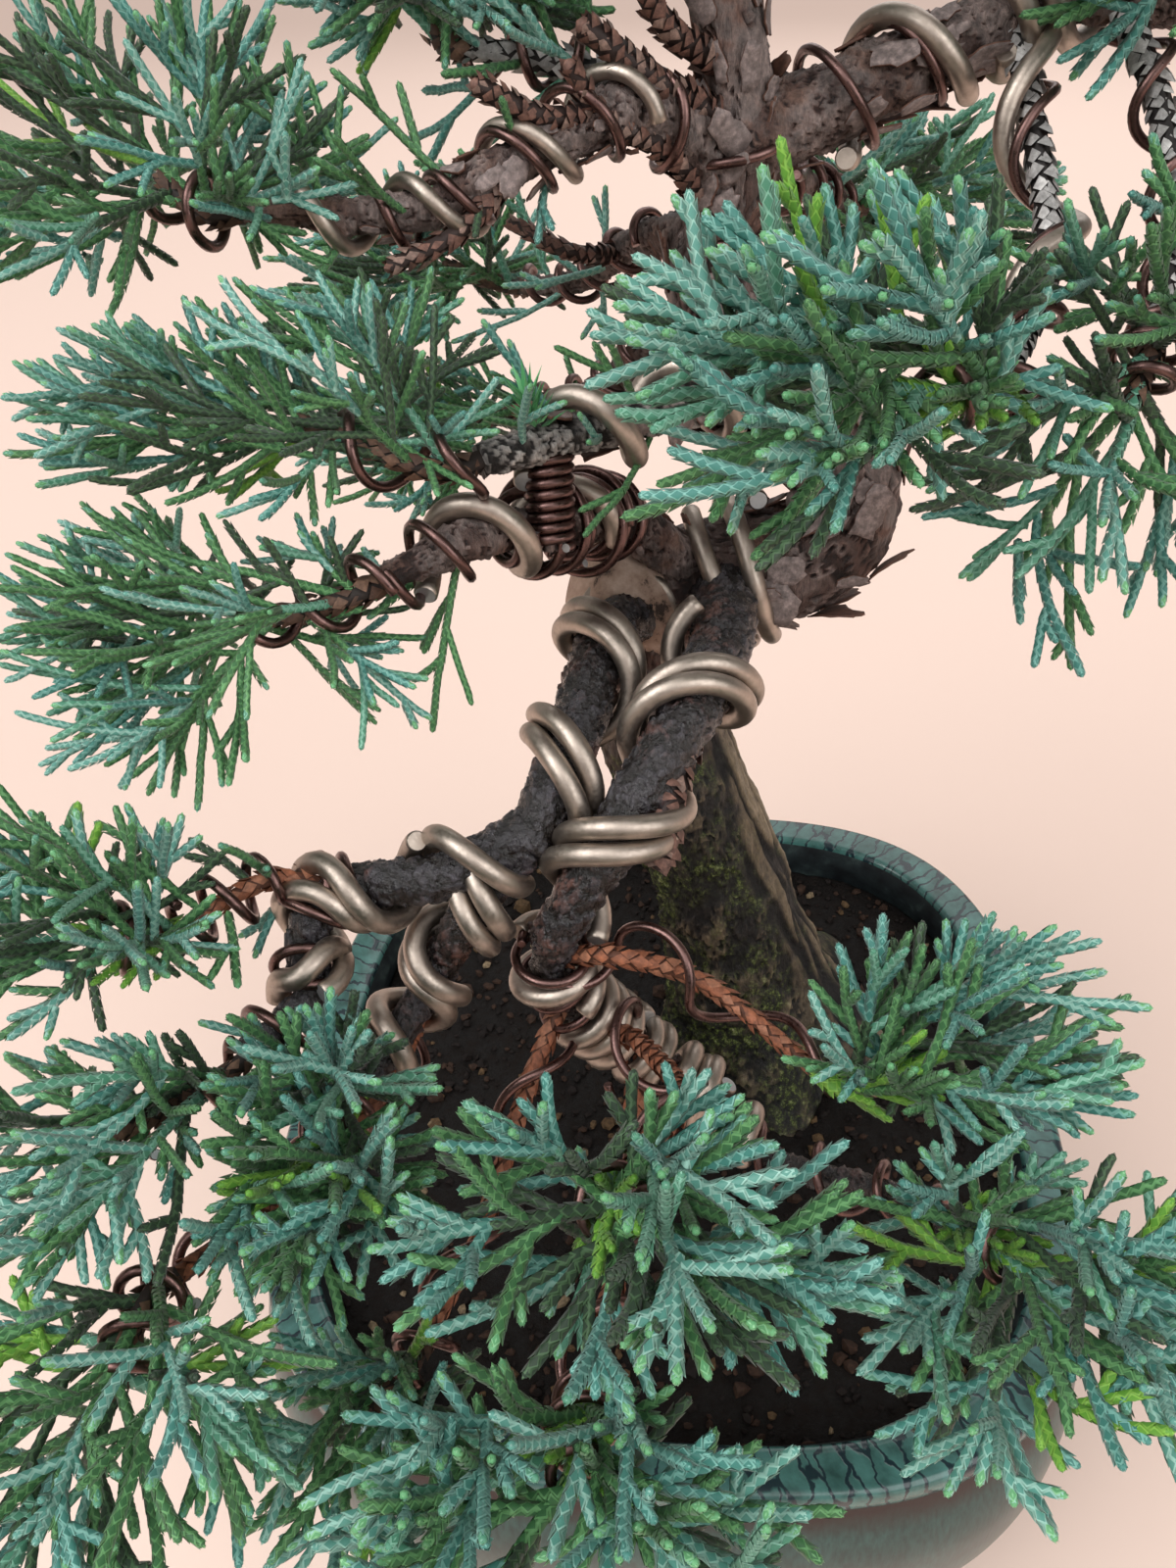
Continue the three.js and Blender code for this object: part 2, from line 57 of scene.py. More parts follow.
bl_info = {
    "name": "Juniper Bonsai",
    "version": (1, 0, 0),
    "blender": (4, 5, 0),
    "location": "3D View > Sidebar > Bonsai",
    "description": "Builds the bark, shoots, wires, soil and glazed pot of a juniper bonsai",
    "category": "Object",
}

MM = 0.001
BODY = "root"
GOLDEN_ANGLE = math.pi * (3 - math.sqrt(5))
# Just short of a full turn, for bearings that are drawn at random
NEARLY_ROUND = 6.28
UP = np.array([0.0, 0.0, 1.0])
# Seed of the noise that bends the bark's cracks, which would else start from the clock
BARK_SEED = 3

# Pot and soil, as the frame's solids have them
RIM_HALF_X = 50.0
RIM_HALF_Y = 54.5
POT_HEIGHT = 50.0
SQUARENESS = 3.23
LIP_WIDTH = 5.5
LIP_HEIGHT = 3.5
LIP_ROUND = 1.1
LIP_GROOVE = 0.9
BELLY_BULGE = 1.8
BELLY_Z = 36.0
BOWL_DEPTH = 20.0
FLOOR_Z = 6.0
WALL = 5.0
SOIL_Z = 44.6
SOIL_EDGE_DROP = 1.2
# Height of the lip's lower edge, and the rounding of its inner one
LIP_FOOT = POT_HEIGHT - LIP_HEIGHT
INNER_ROUND = 0.8
# Fineness of the meshes: corners round the pot and the soil, and the rows of each
POT_SIDES = 224
WALL_ROWS = 40
INSIDE_ROWS = 16
SOIL_SIDES = 200
SOIL_RINGS = 74
GRAIN_COUNT = 2500

# Trunk: radii, root flare, middle line, and the sawn stub of a lost branch
TRUNK_BOLE = 8.6
TRUNK_TIP = 2.4
FLARE = 8.6
FLARE_HEIGHT = 11.0
ROOT_LOBES = 5
ROOT_LOBE_DEPTH = 0.16
ROOT_LOBE_TURN = 1.1
TRUNK_PATH = [
    (13.2, 13.3, 44), (10.2, 12.8, 57), (6.2, 12.9, 73), (1.3, 13.4, 89), (-2.9, 14.6, 103),
    (-2.2, 16.4, 112.5), (6.5, 16.8, 116.5), (16.5, 17.4, 119), (19.2, 19.6, 126),
    (13, 20.2, 133.5), (6.3, 20.6, 141), (3.8, 21.6, 149), (6, 21.4, 158), (5.8, 21.6, 167),
    (2.5, 22.6, 176),
]
SCAR_PATH = [(0, 15.5, 112.5), (-9.6, 12.6, 117.6)]
SCAR_RADII = (6.2, 5.6)
# Stub of a cut twig under the high left bough, with a thin wire coiled close round it
COIL_PATH = [(-10.4, -5.4, 141.4), (-10.2, -8.6, 132.6)]
COIL_RADII = (1.1, 0.9)
# Fineness of their bark: corners round the limb, and millimetres from ring to ring
TRUNK_MESH = (176, 0.5)
SCAR_MESH = (72, 0.35)
COIL_MESH = (30, 0.3)
# The foot's own bark gives way to the bole's from this height, within this distance
FOOT_BARK_TOP = 50.0
FOOT_BARK_FADE = 14.0

# Boughs: name, carrying limb, share of it where they leave, start and end radius, bends
BOUGHS = [
    ("bough_front_left", "trunk", 0.453, 3.1, 2.5,
     [(-6.5, 1.8, 117.1), (-8.9, -14.5, 114.6), (-13, -23.2, 109)]),
    ("bough_left_arm", "bough_front_left", 0.95, 2.6, 1.5,
     [(-20, -25.9, 108.3), (-30.5, -27.6, 107.2), (-32.9, -31, 103.4),
      (-31.6, -34, 101.2), (-36.4, -39.8, 99.1)]),
    ("twig_left_fork", "bough_left_arm", 0.49, 1.5, 1,
     [(-35.5, -28.2, 109.6), (-41.8, -32.9, 108.6)]),
    ("bough_inner_left", "bough_front_left", 0.983, 2.2, 1.6,
     [(-18.8, -26.2, 102.4), (-22.7, -27.4, 95.4), (-27.9, -35.6, 90.2)]),
    ("twig_low_left", "bough_inner_left", 0.67, 1.6, 1.2,
     [(-27.6, -31.8, 84.5), (-33.8, -41.9, 83.1), (-40.2, -56, 89.4)]),
    ("bough_front_centre", "trunk", 0.515, 3.8, 2.3,
     [(5.2, -1, 117.2), (0.7, -15.9, 116.2), (-6.3, -24, 107.6), (-10.6, -26, 100.5)]),
    ("bough_front_centre_low", "bough_front_centre", 0.983, 2.3, 1.7,
     [(-10.4, -24.7, 93.5), (-1.8, -22.1, 79.6), (6.1, -25.4, 76)]),
    ("twig_right_rim", "bough_front_centre_low", 0.115, 1.4, 1,
     [(-4.5, -27.4, 99.8), (3.3, -26.4, 96), (14.5, -32.9, 91.2)]),
    ("twig_front", "bough_front_centre_low", 0.465, 1.4, 1.1,
     [(-1, -31.5, 91), (2.2, -40, 94.6), (-1.9, -48.5, 97)]),
    ("twig_low_inner", "bough_front_centre_low", 0.3, 1.3, 1,
     [(-13.2, -31, 85), (-17.2, -46, 79), (-20.4, -53, 77.3)]),
    ("twig_front_low", "bough_front_centre_low", 0.675, 1.5, 1.1,
     [(-2.6, -36, 74.6), (-4.3, -50.7, 77.6), (-5, -60, 81.8)]),
    ("bough_front_right", "bough_front_centre_low", 0.865, 1.6, 1.2,
     [(11.5, -30.8, 74), (21.7, -37.1, 78.3), (26.4, -43.4, 83.6)]),
    ("bough_left", "trunk", 0.5, 3, 1.5,
     [(-4.6, 8.5, 127), (-9.8, -2.1, 132), (-17, -11.6, 135.2), (-24, -15.5, 133.4)]),
    ("bough_left_high", "trunk", 0.718, 2.7, 1.5,
     [(7.2, 9.5, 139.9), (-2, 0, 141.8), (-15.7, -10.2, 142)]),
    ("bough_upper_left", "trunk", 0.873, 3, 1.1,
     [(-2.4, 16.4, 163.6), (-11.5, 10, 162.2), (-21, 5.8, 158.3), (-36.4, 2.2, 159.4)]),
    ("twig_top_pad", "bough_upper_left", 0.237, 1.8, 1.2,
     [(-8.5, 18.4, 167), (-18, 20, 168.6)]),
    ("bough_upper_right", "trunk", 0.892, 3.9, 2.2,
     [(15, 22.2, 162.9), (27.2, 26.8, 167.2), (34, 28.4, 170), (47, 25.4, 169.6)]),
    ("twig_hanging_inner", "bough_upper_right", 0.632, 1.6, 1,
     [(32.8, 19.5, 161.6), (33.4, 7, 152.6), (27.4, -10.5, 149)]),
    ("twig_hanging_outer", "bough_upper_right", 0.848, 1.7, 1.1,
     [(44.2, 20, 162), (44.6, 10, 154.8), (41.6, 0.4, 150)]),
    ("bough_back_left", "trunk", 0.772, 2.2, 1.3,
     [(-1, 30, 138.6), (-9.3, 38, 129.6), (-17.2, 43.2, 126)]),
    ("bough_back_left_high", "trunk", 0.838, 2.2, 1.2,
     [(-3.2, 35.6, 147.4), (-12.2, 48.4, 139.4), (-19.4, 54.4, 137.2)]),
    ("bough_back_right", "trunk", 0.86, 2.2, 1.3,
     [(12, 33.3, 153.4), (18.6, 45, 148.6)]),
]
# Limbs whose bark is still overlapping scales: red-brown low down, weathered grey above
RUST_LIMBS = ("twig_right_rim", "twig_front", "twig_low_inner", "twig_front_low",
              "twig_low_left", "twig_left_fork")
GREY_LIMBS = ("twig_hanging_inner", "twig_hanging_outer", "twig_top_pad")
# The one bough whose plates have weathered pale
PALE_LIMB = "bough_left_high"
# Old scaly twigs and a stub in front, which the frame leaves out: carrying limb, share
# of it where they leave, their bends, and their radius at start and end
OLD_TWIGS = [
    ("trunk", 0.9, [(-1, 16, 166), (-7.5, 13.5, 171)], 1.7, 1.2),
    ("trunk", 0.93, [(0, 17, 170), (-4, 15, 176)], 1.5, 1.0),
    ("trunk", 0.84, [(0, 16.5, 160), (-6, 12.5, 164), (-8.5, 10.5, 168.5)], 1.5, 1.0),
    ("bough_upper_left", 0.3, [(-11, 8.5, 165), (-16, 6, 168)], 1.3, 0.9),
    ("bough_upper_left", 0.5, [(-18, 4, 157), (-24, 0.5, 155)], 1.2, 0.8),
    ("bough_back_left_high", 0.5, [(-11, 33, 147), (-18, 34, 150)], 1.2, 0.8),
    ("bough_front_centre", 0.52, [(0.3, -21.2, 112.4), (-0.2, -22.4, 107.2)], 2.0, 1.5),
]
# Limbs whose bark is dark and damp
DAMP_LIMBS = ("bough_front_left", "bough_left_arm", "bough_inner_left", "bough_front_centre",
              "bough_front_centre_low", "bough_front_right")

# Width of the boughs' plates of bark, and millimetres from point to point of their mesh
DRY_PLATES = (4.0, 0.3)
DAMP_PLATES = (1.05, 0.25)
PALE_PLATES = (0.9, 0.25)
# Plates wider than this peel in sheets; narrower ones crack. Both are longer than wide.
PEELING_WIDTH = 2.5
PLATE_STRETCH = 1.4
# Loose plates of bark: limb, where on it they start and stop, and how many it has
FLAKE_HOSTS = [
    ("trunk", 0.5, 0.98, 150), ("bough_upper_right", 0.1, 0.8, 45),
    ("bough_upper_left", 0.12, 0.8, 24), ("bough_left", 0.1, 0.7, 16),
    ("bough_left_high", 0.1, 0.8, 16),
]
FLAKE_ACROSS = 5
FLAKE_ALONG = 6

# Wires: node, limb, where the winding starts and stops, turns (negative turns wind the
# other way), radius, starting angle, and how many wire widths it lies beside the first
WIRES = [
    ("wire_front_left_1", "bough_front_left", 0.3, 0.95, -1.9, 1.25, 0.4, 0),
    ("wire_front_left_2", "bough_front_left", 0.3, 0.95, -1.9, 1.25, 0.4, 1),
    ("wire_left_arm", "bough_left_arm", 0.08, 0.86, 2.6, 1.25, 0.6, 0),
    ("wire_inner_left", "bough_inner_left", 0.14, 0.9, -2.3, 1.25, 1.2, 0),
    ("wire_front_centre_1", "bough_front_centre", 0.28, 0.96, 2.4, 1.25, 0.0, 0),
    ("wire_front_centre_2", "bough_front_centre", 0.28, 0.96, 2.4, 1.25, 0.0, 1),
    ("wire_trunk", "trunk", 0.505, 0.545, 1.0, 1.25, 1.2, 0),
    ("wire_left", "bough_left", 0.5, 0.95, 1.8, 1.25, 0.4, 0),
    ("wire_left_high", "bough_left_high", 0.3, 0.9, 2.2, 1.25, 0.0, 0),
    ("wire_upper_left", "bough_upper_left", 0.25, 0.9, 3.2, 0.85, 0.3, 0),
    ("wire_upper_right", "bough_upper_right", 0.2, 0.82, 2.2, 1.25, 1.1, 0),
]
# From the bark to the wire's nearest side
WIRE_SEAT = 0.3
# Thickness of the training wires against the frame's
WIRE_DRAWN = 0.88
# From the middle of a wire to that of the one beside it, in wire radii
WIRE_PITCH = 2.1
# Points in one turn of a winding, and millimetres from ring to ring of a wire's mesh
TURN_POINTS = 30
WIRE_STEP = 0.6
# Corners round a wire of the frame, a second winding and a thin wire
WIRE_SIDES = 20
SECOND_WIRE_SIDES = 18
THIN_WIRE_SIDES = 8
# Bevel of a wire's cut end, as a share of its radius
END_BEVEL = 0.14
# Masses whose stem carries the thin wire on
WIRED_MASSES = ("left_high", "left", "fork", "left_arm", "front_left", "low_left", "low_inner",
                "front_centre", "front_low", "front_right", "right_inner", "right_outer",
                "upper_left")
# Second and third windings, which the frame leaves out: limb, start, stop, turns, radius,
# starting angle, and how many wire widths each lies beside the one of the frame
EXTRA_WIRES = [
    ("bough_front_centre_low", 0.06, 0.3, 1.6, 1.2, 0.3, 0),
    ("bough_front_centre_low", 0.36, 0.62, 3.3, 1.2, 0.8, 0),
    ("bough_front_centre_low", 0.66, 0.78, 1.6, 1.1, 2.6, 0),
    ("bough_front_centre_low", 0.82, 1.0, 2.2, 1.2, 0.2, 0),
    ("bough_front_left", 0.1, 0.28, 0.9, 1.2, 2.8, 0),
    ("bough_inner_left", 0.14, 0.9, -2.3, 1.15, 1.2, 1),
    ("bough_left_arm", 0.3, 0.8, 1.67, 1.15, 5.2, 1),
    ("trunk", 0.505, 0.545, 1.0, 1.25, 1.2, 1),
    ("twig_hanging_inner", 0.02, 0.8, 1.8, 1.1, 2.5, 0),
    ("bough_upper_right", 0.56, 0.7, 1.9, 1.2, 0.5, 0),
    ("bough_front_right", 0.02, 0.3, 1.4, 1.15, 2.0, 0),
]
# Thin wires, which the frame leaves out: limb, start, stop, turns, starting angle, slack
THIN_WIRES = [
    ("twig_right_rim", 0.05, 1.0, 1.7, 0.4, 0.6),
    ("twig_front", 0.1, 1.0, 1.8, 1.0, 0.6),
    ("twig_low_inner", 0.1, 1.0, 2.0, 2.0, 0.6),
    ("twig_front_low", 0.1, 1.0, 2.3, 0.0, 0.6),
    ("bough_front_right", 0.2, 1.0, 3.4, 0.8, 0.4),
    ("bough_front_centre_low", 0.05, 0.35, 4.0, 0.3, 0.3),
    ("bough_left", 0.48, 0.74, 5.0, 1.0, 1.0),
    ("coil_stub", 0.06, 0.96, 8.6, 0.0, 0.0),
    ("twig_low_left", 0.1, 1.0, 4.6, 0.7, 0.6),
    ("twig_left_fork", 0.1, 1.0, 3.0, 0.2, 0.5),
    ("bough_left_arm", 0.45, 1.0, 4.6, 2.6, 0.3),
    ("bough_left", 0.36, 0.56, 4.0, 0.0, 0.5),
    ("bough_left", 0.6, 1.0, 4.0, 2.0, 0.4),
    ("bough_left_high", 0.15, 0.42, 5.0, 1.0, 0.3),
    ("bough_upper_left", 0.1, 0.8, 5.0, 2.2, 0.25),
    ("twig_hanging_inner", 0.05, 1.0, 3.4, 0.0, 0.1),
    ("twig_hanging_outer", 0.05, 1.0, 3.2, 1.0, 0.1),
    ("trunk", 0.84, 0.92, 1.6, 0.4, 0.3),
    ("bough_upper_right", 0.1, 0.5, 2.3, 1.4, 0.3),
    ("twig_top_pad", 0.1, 1.0, 3.0, 0.0, 0.2),
    ("bough_back_left", 0.25, 1.0, 4.6, 0.0, 0.1),
    ("bough_back_left_high", 0.3, 1.0, 4.4, 1.0, 0.1),
    ("bough_back_right", 0.3, 1.0, 3.6, 2.0, 0.1),
]

# Foliage masses: name, carrying limb, middle of the space and its three half sizes, how
# thick the shoots are against the setting, whether the stem has turned to brown scaly
# wood, and from which share of its length on the carrying limb bears shoots (1 for not)
MASSES = [
    ("upper_left", "bough_upper_left", (-45, 4, 163), (21, 16, 13), 0.7, True, 0.4),
    ("top_pad", "twig_top_pad", (-21, 24, 177), (16, 15, 12), 0.8, True, 0.1),
    ("left_high", "bough_left_high", (-35, -8, 146), (21, 14, 11), 0.67, True, 0.6),
    ("left", "bough_left", (-41, -16, 128), (20, 14, 15), 0.67, True, 0.62),
    ("back_left_high", "bough_back_left_high", (-33, 58, 140), (18, 14, 9), 0.76, True, 0.3),
    ("back_left", "bough_back_left", (-31, 45, 121), (16, 13, 9), 0.74, True, 0.3),
    ("back_right", "bough_back_right", (27, 56, 146), (17, 15, 11), 0.85, True, 0.4),
    ("right_inner", "twig_hanging_inner", (13, -19, 152), (16, 14, 13), 0.93, False, 0.5),
    ("right_outer", "twig_hanging_outer", (38, -8, 144), (15, 13, 19), 0.86, True, 0.6),
    ("fork", "twig_left_fork", (-51, -38, 112), (16, 12, 10), 0.8, False, 0.3),
    ("left_arm", "bough_left_arm", (-46, -53, 102), (14, 13, 10), 0.85, True, 0.78),
    ("front_left", "bough_inner_left", (-29, -50, 99), (11, 14, 11), 0.92, False, 1),
    ("low_left", "twig_low_left", (-42, -69, 89), (17, 13, 11), 0.88, True, 1),
    ("low_inner", "twig_low_inner", (-25, -62, 77), (11, 11, 9), 0.92, True, 1),
    ("front_centre", "twig_front", (0, -59, 102), (18, 13, 11), 1.0, False, 1),
    ("front_low", "twig_front_low", (-6, -73, 87), (19, 10, 11), 1.0, False, 1),
    ("right_rim", "twig_right_rim", (29, -33, 96), (15, 11, 10), 0.95, False, 1),
    ("front_right", "bough_front_right", (33, -54, 88), (16, 14, 14), 0.95, False, 1),
    ("apex", "trunk", (0, 22, 188), (20, 19, 15), 1.0, True, 1),
    ("top_right", "bough_upper_right", (49, 22, 178), (18, 18, 15), 0.95, True, 1),
]
MASS_NAMES = [mass[0] for mass in MASSES]
MASS_MIDDLES = np.array([mass[2] for mass in MASSES], float)
MASS_HALVES = np.array([mass[3] for mass in MASSES], float)
BOX_LOW, BOX_HIGH = np.array(CAD_BOX) / MM
# Heights in the space that the twigs point to, from its top at 1 to its bottom at -1
HIGHEST_TWIG = 0.95
LOWEST_TWIG = -0.75
# Share of a stem that bears no twig, and its radius at start and end
STEM_BARE = 0.15
STEM_RADII = (1.15, 0.85)
# How far a stem runs straight on from its bough's tip
STEM_STRAIGHT = 3.3
# How many times more twigs and shoots than the others one pad has, close under the crown
CROWDED = {"top_pad": 1.8}
# What shoots keep free: a share of the next mass's space, and millimetres round a limb.
# They may pass the box of the solids by a little.
SPACE_MARGIN = 0.03
LIMB_CLEARANCE = 1.2
BOX_ALLOWANCE = 1.5
# Length of one step of a shoot's middle line
PATH_STEP = 1.5
NEEDLE_COUNT = 34

# The shoots' colours: the green of a scale leaf and the paler bloom on its edges
LEAF_TINTS = {
    "bloom": ("548F82", "98C6B8"),
    "bloom_deep": ("407E74", "7FB8AC"),
    "green": ("4A866C", "84BAA2"),
    "tip": ("5E9E6C", "8AC492"),
    "inner": ("38683E", "689E66"),
    "bright": ("5E9632", "88BC4E"),
    # shade is a dark green that paints the shade deep inside the masses
    "shade": ("263A29", "4A6848"),
}
TINT_NUMBERS = {name: number for number, name in enumerate(LEAF_TINTS)}
# Sockets of the mix node for colours, by number, because their names repeat
FACTOR, A, B, RESULT = 0, 6, 7, 2


def linear(code, alpha=1.0):
    """An sRGB hex colour as Blender's linear one."""
    shares = [int(code[i:i + 2], 16) / 255 for i in (0, 2, 4)]
    return (*[c / 12.92 if c <= 0.04045 else ((c + 0.055) / 1.055) ** 2.4 for c in shares], alpha)


def per_metre(size_mm):
    """Scale of a texture whose features are this many millimetres wide."""
    return 1 / (size_mm * MM)


def length_setting(name, description, usual, low, high):
    """A length in the settings, with its default and limits in millimetres."""
    return FloatProperty(name=name, description=description, default=usual * MM,
                         min=low * MM, max=high * MM, unit="LENGTH", precision=5)


def colour_setting(name, description, code):
    """A colour in the settings, with its default from an sRGB hex value."""
    return FloatVectorProperty(name=name, description=description, subtype="COLOR", size=4,
                               min=0, max=1, default=linear(code))


class BonsaiSizes(bpy.types.PropertyGroup):
    """Sizes and numbers of the fine detail."""

    shoot_width: length_setting(
        "Shoot width", "Thickness of a leafy shoot over its scale leaves", 1.06, 0.5, 4)
    leaf_spacing: length_setting(
        "Leaf spacing", "From one scale leaf to the next one above it", 1.15, 0.5, 5)
    bark_relief: length_setting("Bark relief", "Height of the trunk's bark plates", 0.9, 0, 3)
    thin_wire: length_setting("Thin wire", "Thickness of the thin wires on the twigs", 1, 0.3, 2)
    grit_size: length_setting("Grit size", "Usual width of a grain on the soil", 1.3, 0.3, 5)
    twigs_per_mass: IntProperty(
        name="Twigs per mass", description="Twigs that part from the stem of each foliage mass",
        default=10, min=2, max=14)


class BonsaiColours(bpy.types.PropertyGroup):
    """Colours of the pot, the wood and the wires."""

    lip_glaze: colour_setting("Lip glaze", "Teal glaze on the pot's lip", "3E6560")
    body_glaze: colour_setting("Body glaze", "Blue-grey glaze on the pot's wall", "25423F")
    soil: colour_setting("Soil", "Damp soil in the pot", "100A07")
    bark: colour_setting("Bark", "Purple-grey outer bark", "6E625F")
    under_bark: colour_setting("Under bark", "Red-brown bark in the cracks", "3E241C")
    rust_bark: colour_setting("Young bark", "Red-brown scales on the young twigs", "7E4B33")
    grey_bark: colour_setting("Weathered bark", "Grey scales on the hanging twigs", "949290")
    wire: colour_setting("Wire", "Anodised training wire", "AFA398")
    thin_wire: colour_setting("Thin wire", "Dark copper-brown thin wire", "6C5450")
    floor: colour_setting("Floor", "Pale studio floor", "EAD2C5")


def to_mm(length):
    """A length setting in millimetres."""
    return length / MM


# Node materials
def start_material(name):
    """An empty node material, and its tree."""
    material = bpy.data.materials.new(name)
    material.use_nodes = True
    material.node_tree.nodes.clear()
    return material, material.node_tree


def add_node(tree, kind, inputs=None, stops=None, **settings):
    """Adds a node with its settings. Inputs are values, or sockets to link; stops are the
    places and colours of a colour ramp."""
    node = tree.nodes.new(kind)
    for key, value in settings.items():
        setattr(node, key, value)
    for key, value in (inputs or {}).items():
        if isinstance(value, bpy.types.NodeSocket):
            tree.links.new(value, node.inputs[key])
        else:
            node.inputs[key].default_value = value
    if stops:
        elements = node.color_ramp.elements
        while len(elements) < len(stops):
            elements.new(0.5)
        for element, (place, colour) in zip(elements, stops):
            element.position = place
            element.color = colour
    return node


def end_material(tree, inputs):
    """Adds the shader with its inputs, and the output."""
    shader = add_node(tree, "ShaderNodeBsdfPrincipled", inputs)
    add_node(tree, "ShaderNodeOutputMaterial", {"Surface": shader.outputs["BSDF"]})


def shade(colour, factor):
    """A colour made darker or lighter by a factor."""
    return (*[min(1, c * factor) for c in colour[:3]], 1)


def grey(value):
    """A grey for a ramp that gives a number and no colour."""
    return (value, value, value, 1)


def mottled_material(name, mottle, tones, inputs, relief=None):
    """A material that one mottle colours. Mottle is the width of its spots in millimetres,
    its detail and its roughness; tones are the stops of its ramp; inputs are the shader's
    plain values; relief is how strong and how deep, in millimetres, its bump is."""
    material, tree = start_material(name)
    width, detail, rough = mottle
    place = add_node(tree, "ShaderNodeTexCoord").outputs["Object"]
    spots = add_node(tree, "ShaderNodeTexNoise",
                     {"Vector": place, "Scale": per_metre(width), "Detail": detail,
                      "Roughness": rough})
    colour = add_node(tree, "ShaderNodeValToRGB", {"Fac": spots.outputs["Fac"]}, stops=tones)
    sockets = {"Base Color": colour.outputs["Color"], **inputs}
    if relief:
        strength, depth = relief
        bump = add_node(tree, "ShaderNodeBump",
                        {"Height": spots.outputs["Fac"], "Strength": strength,
                         "Distance": depth * MM})
        sockets["Normal"] = bump.outputs[0]
    end_material(tree, sockets)
    return material


def crackled_glaze(colours):
    """Celadon-type stoneware glaze, fired until it crazes: a glassy teal coat, crossed from
    edge to edge by forked blue-black cracks about 2.5 mm apart."""
    material, tree = start_material("crackled_teal_glaze")
    run = add_node(tree, "ShaderNodeAttribute", attribute_name="run").outputs["Vector"]
    wander = add_node(tree, "ShaderNodeTexNoise",
                      {"Vector": run, "Scale": per_metre(2.2), "Detail": 3})
    shift = add_node(tree, "ShaderNodeVectorMath",
                     {0: wander.outputs["Color"], 1: (2.4 * MM, 2.4 * MM, 0)},
                     operation="MULTIPLY")
    bent = add_node(tree, "ShaderNodeVectorMath", {0: run, 1: shift.outputs[0]},
                    operation="ADD")
    slant = add_node(tree, "ShaderNodeMapping",
                     {"Vector": bent.outputs[0], "Rotation": (0, 0, 0.3),
                      "Scale": (1.0, 0.28, 1.0)})
    cracks = add_node(tree, "ShaderNodeTexVoronoi",
                      {"Vector": slant.outputs[0], "Scale": per_metre(2.4)},
                      feature="DISTANCE_TO_EDGE", voronoi_dimensions="2D")
    pool = add_node(tree, "ShaderNodeTexNoise",
                    {"Vector": run, "Scale": per_metre(3.5), "Detail": 4, "Roughness": 0.6})
    base = add_node(tree, "ShaderNodeValToRGB", {"Fac": pool.outputs["Fac"]},
                    stops=[(0.3, shade(colours.lip_glaze, 0.45)), (0.52, colours.lip_glaze),
                           (0.75, shade(colours.lip_glaze, 1.6))])
    deep = add_node(tree, "ShaderNodeMath",
                    {0: pool.outputs["Fac"], 1: -0.1, 2: cracks.outputs["Distance"]},
                    operation="MULTIPLY_ADD")
    line = add_node(tree, "ShaderNodeValToRGB", {"Fac": deep.outputs[0]},
                    stops=[(0.0, grey(0.95)), (0.036, grey(0))])
    colour = add_node(tree, "ShaderNodeMix",
                      {FACTOR: line.outputs["Color"], A: base.outputs["Color"],
                       B: linear("14232B")}, data_type="RGBA")
    bump = add_node(tree, "ShaderNodeBump",
                    {"Height": line.outputs["Color"], "Strength": 0.2, "Distance": 0.2 * MM},
                    invert=True)
    end_material(tree, {"Base Color": colour.outputs[RESULT], "Roughness": 0.2, "IOR": 1.52,
                        "Normal": bump.outputs[0]})
    return material


def body_glaze(colours):
    """Ash glaze over iron-bearing stoneware: blue-grey with fine upright hatching about
    0.5 mm wide, cloudy patches, and an iron-brown band where it thins under the lip."""
    material, tree = start_material("blue_grey_ash_glaze")
    place = add_node(tree, "ShaderNodeTexCoord").outputs["Object"]
    upright = add_node(tree, "ShaderNodeMapping",
                       {"Vector": place, "Scale": (1.0, 1.0, 0.22)})
    hatch = add_node(tree, "ShaderNodeTexNoise",
                     {"Vector": upright.outputs[0], "Scale": per_metre(0.5), "Detail": 2})
    clouds = add_node(tree, "ShaderNodeTexNoise",
                      {"Vector": place, "Scale": per_metre(9), "Detail": 5,
                       "Roughness": 0.6})
    base = add_node(tree, "ShaderNodeValToRGB", {"Fac": clouds.outputs["Fac"]},
                    stops=[(0.3, shade(colours.body_glaze, 0.55)), (0.5, colours.body_glaze),
                           (0.7, shade(colours.body_glaze, 1.35))])
    lines = add_node(tree, "ShaderNodeValToRGB", {"Fac": hatch.outputs["Fac"]},
                     stops=[(0.32, grey(0.62)), (0.65, (1.15, 1.15, 1.12, 1))])
    hatched = add_node(tree, "ShaderNodeMix",
                       {FACTOR: 1.0, A: base.outputs["Color"], B: lines.outputs["Color"]},
                       data_type="RGBA", blend_type="MULTIPLY")
    height = add_node(tree, "ShaderNodeSeparateXYZ", {0: place})
    ragged = add_node(tree, "ShaderNodeMath",
                      {0: clouds.outputs["Fac"], 1: 4 * MM, 2: height.outputs["Z"]},
                      operation="MULTIPLY_ADD")
    band = add_node(tree, "ShaderNodeMapRange",
                    {"Value": ragged.outputs[0], "From Min": (LIP_FOOT - 2) * MM,
                     "From Max": (LIP_FOOT + 0.5) * MM, "To Min": 0.0, "To Max": 0.95})
    colour = add_node(tree, "ShaderNodeMix",
                      {FACTOR: band.outputs[0], A: hatched.outputs[RESULT], B: linear("2C1C19")},
                      data_type="RGBA")
    bump = add_node(tree, "ShaderNodeBump",
                    {"Height": hatch.outputs["Fac"], "Strength": 0.1, "Distance": 0.2 * MM})
    end_material(tree, {"Base Color": colour.outputs[RESULT], "Roughness": 0.3, "IOR": 1.52,
                        "Normal": bump.outputs[0]})
    return material


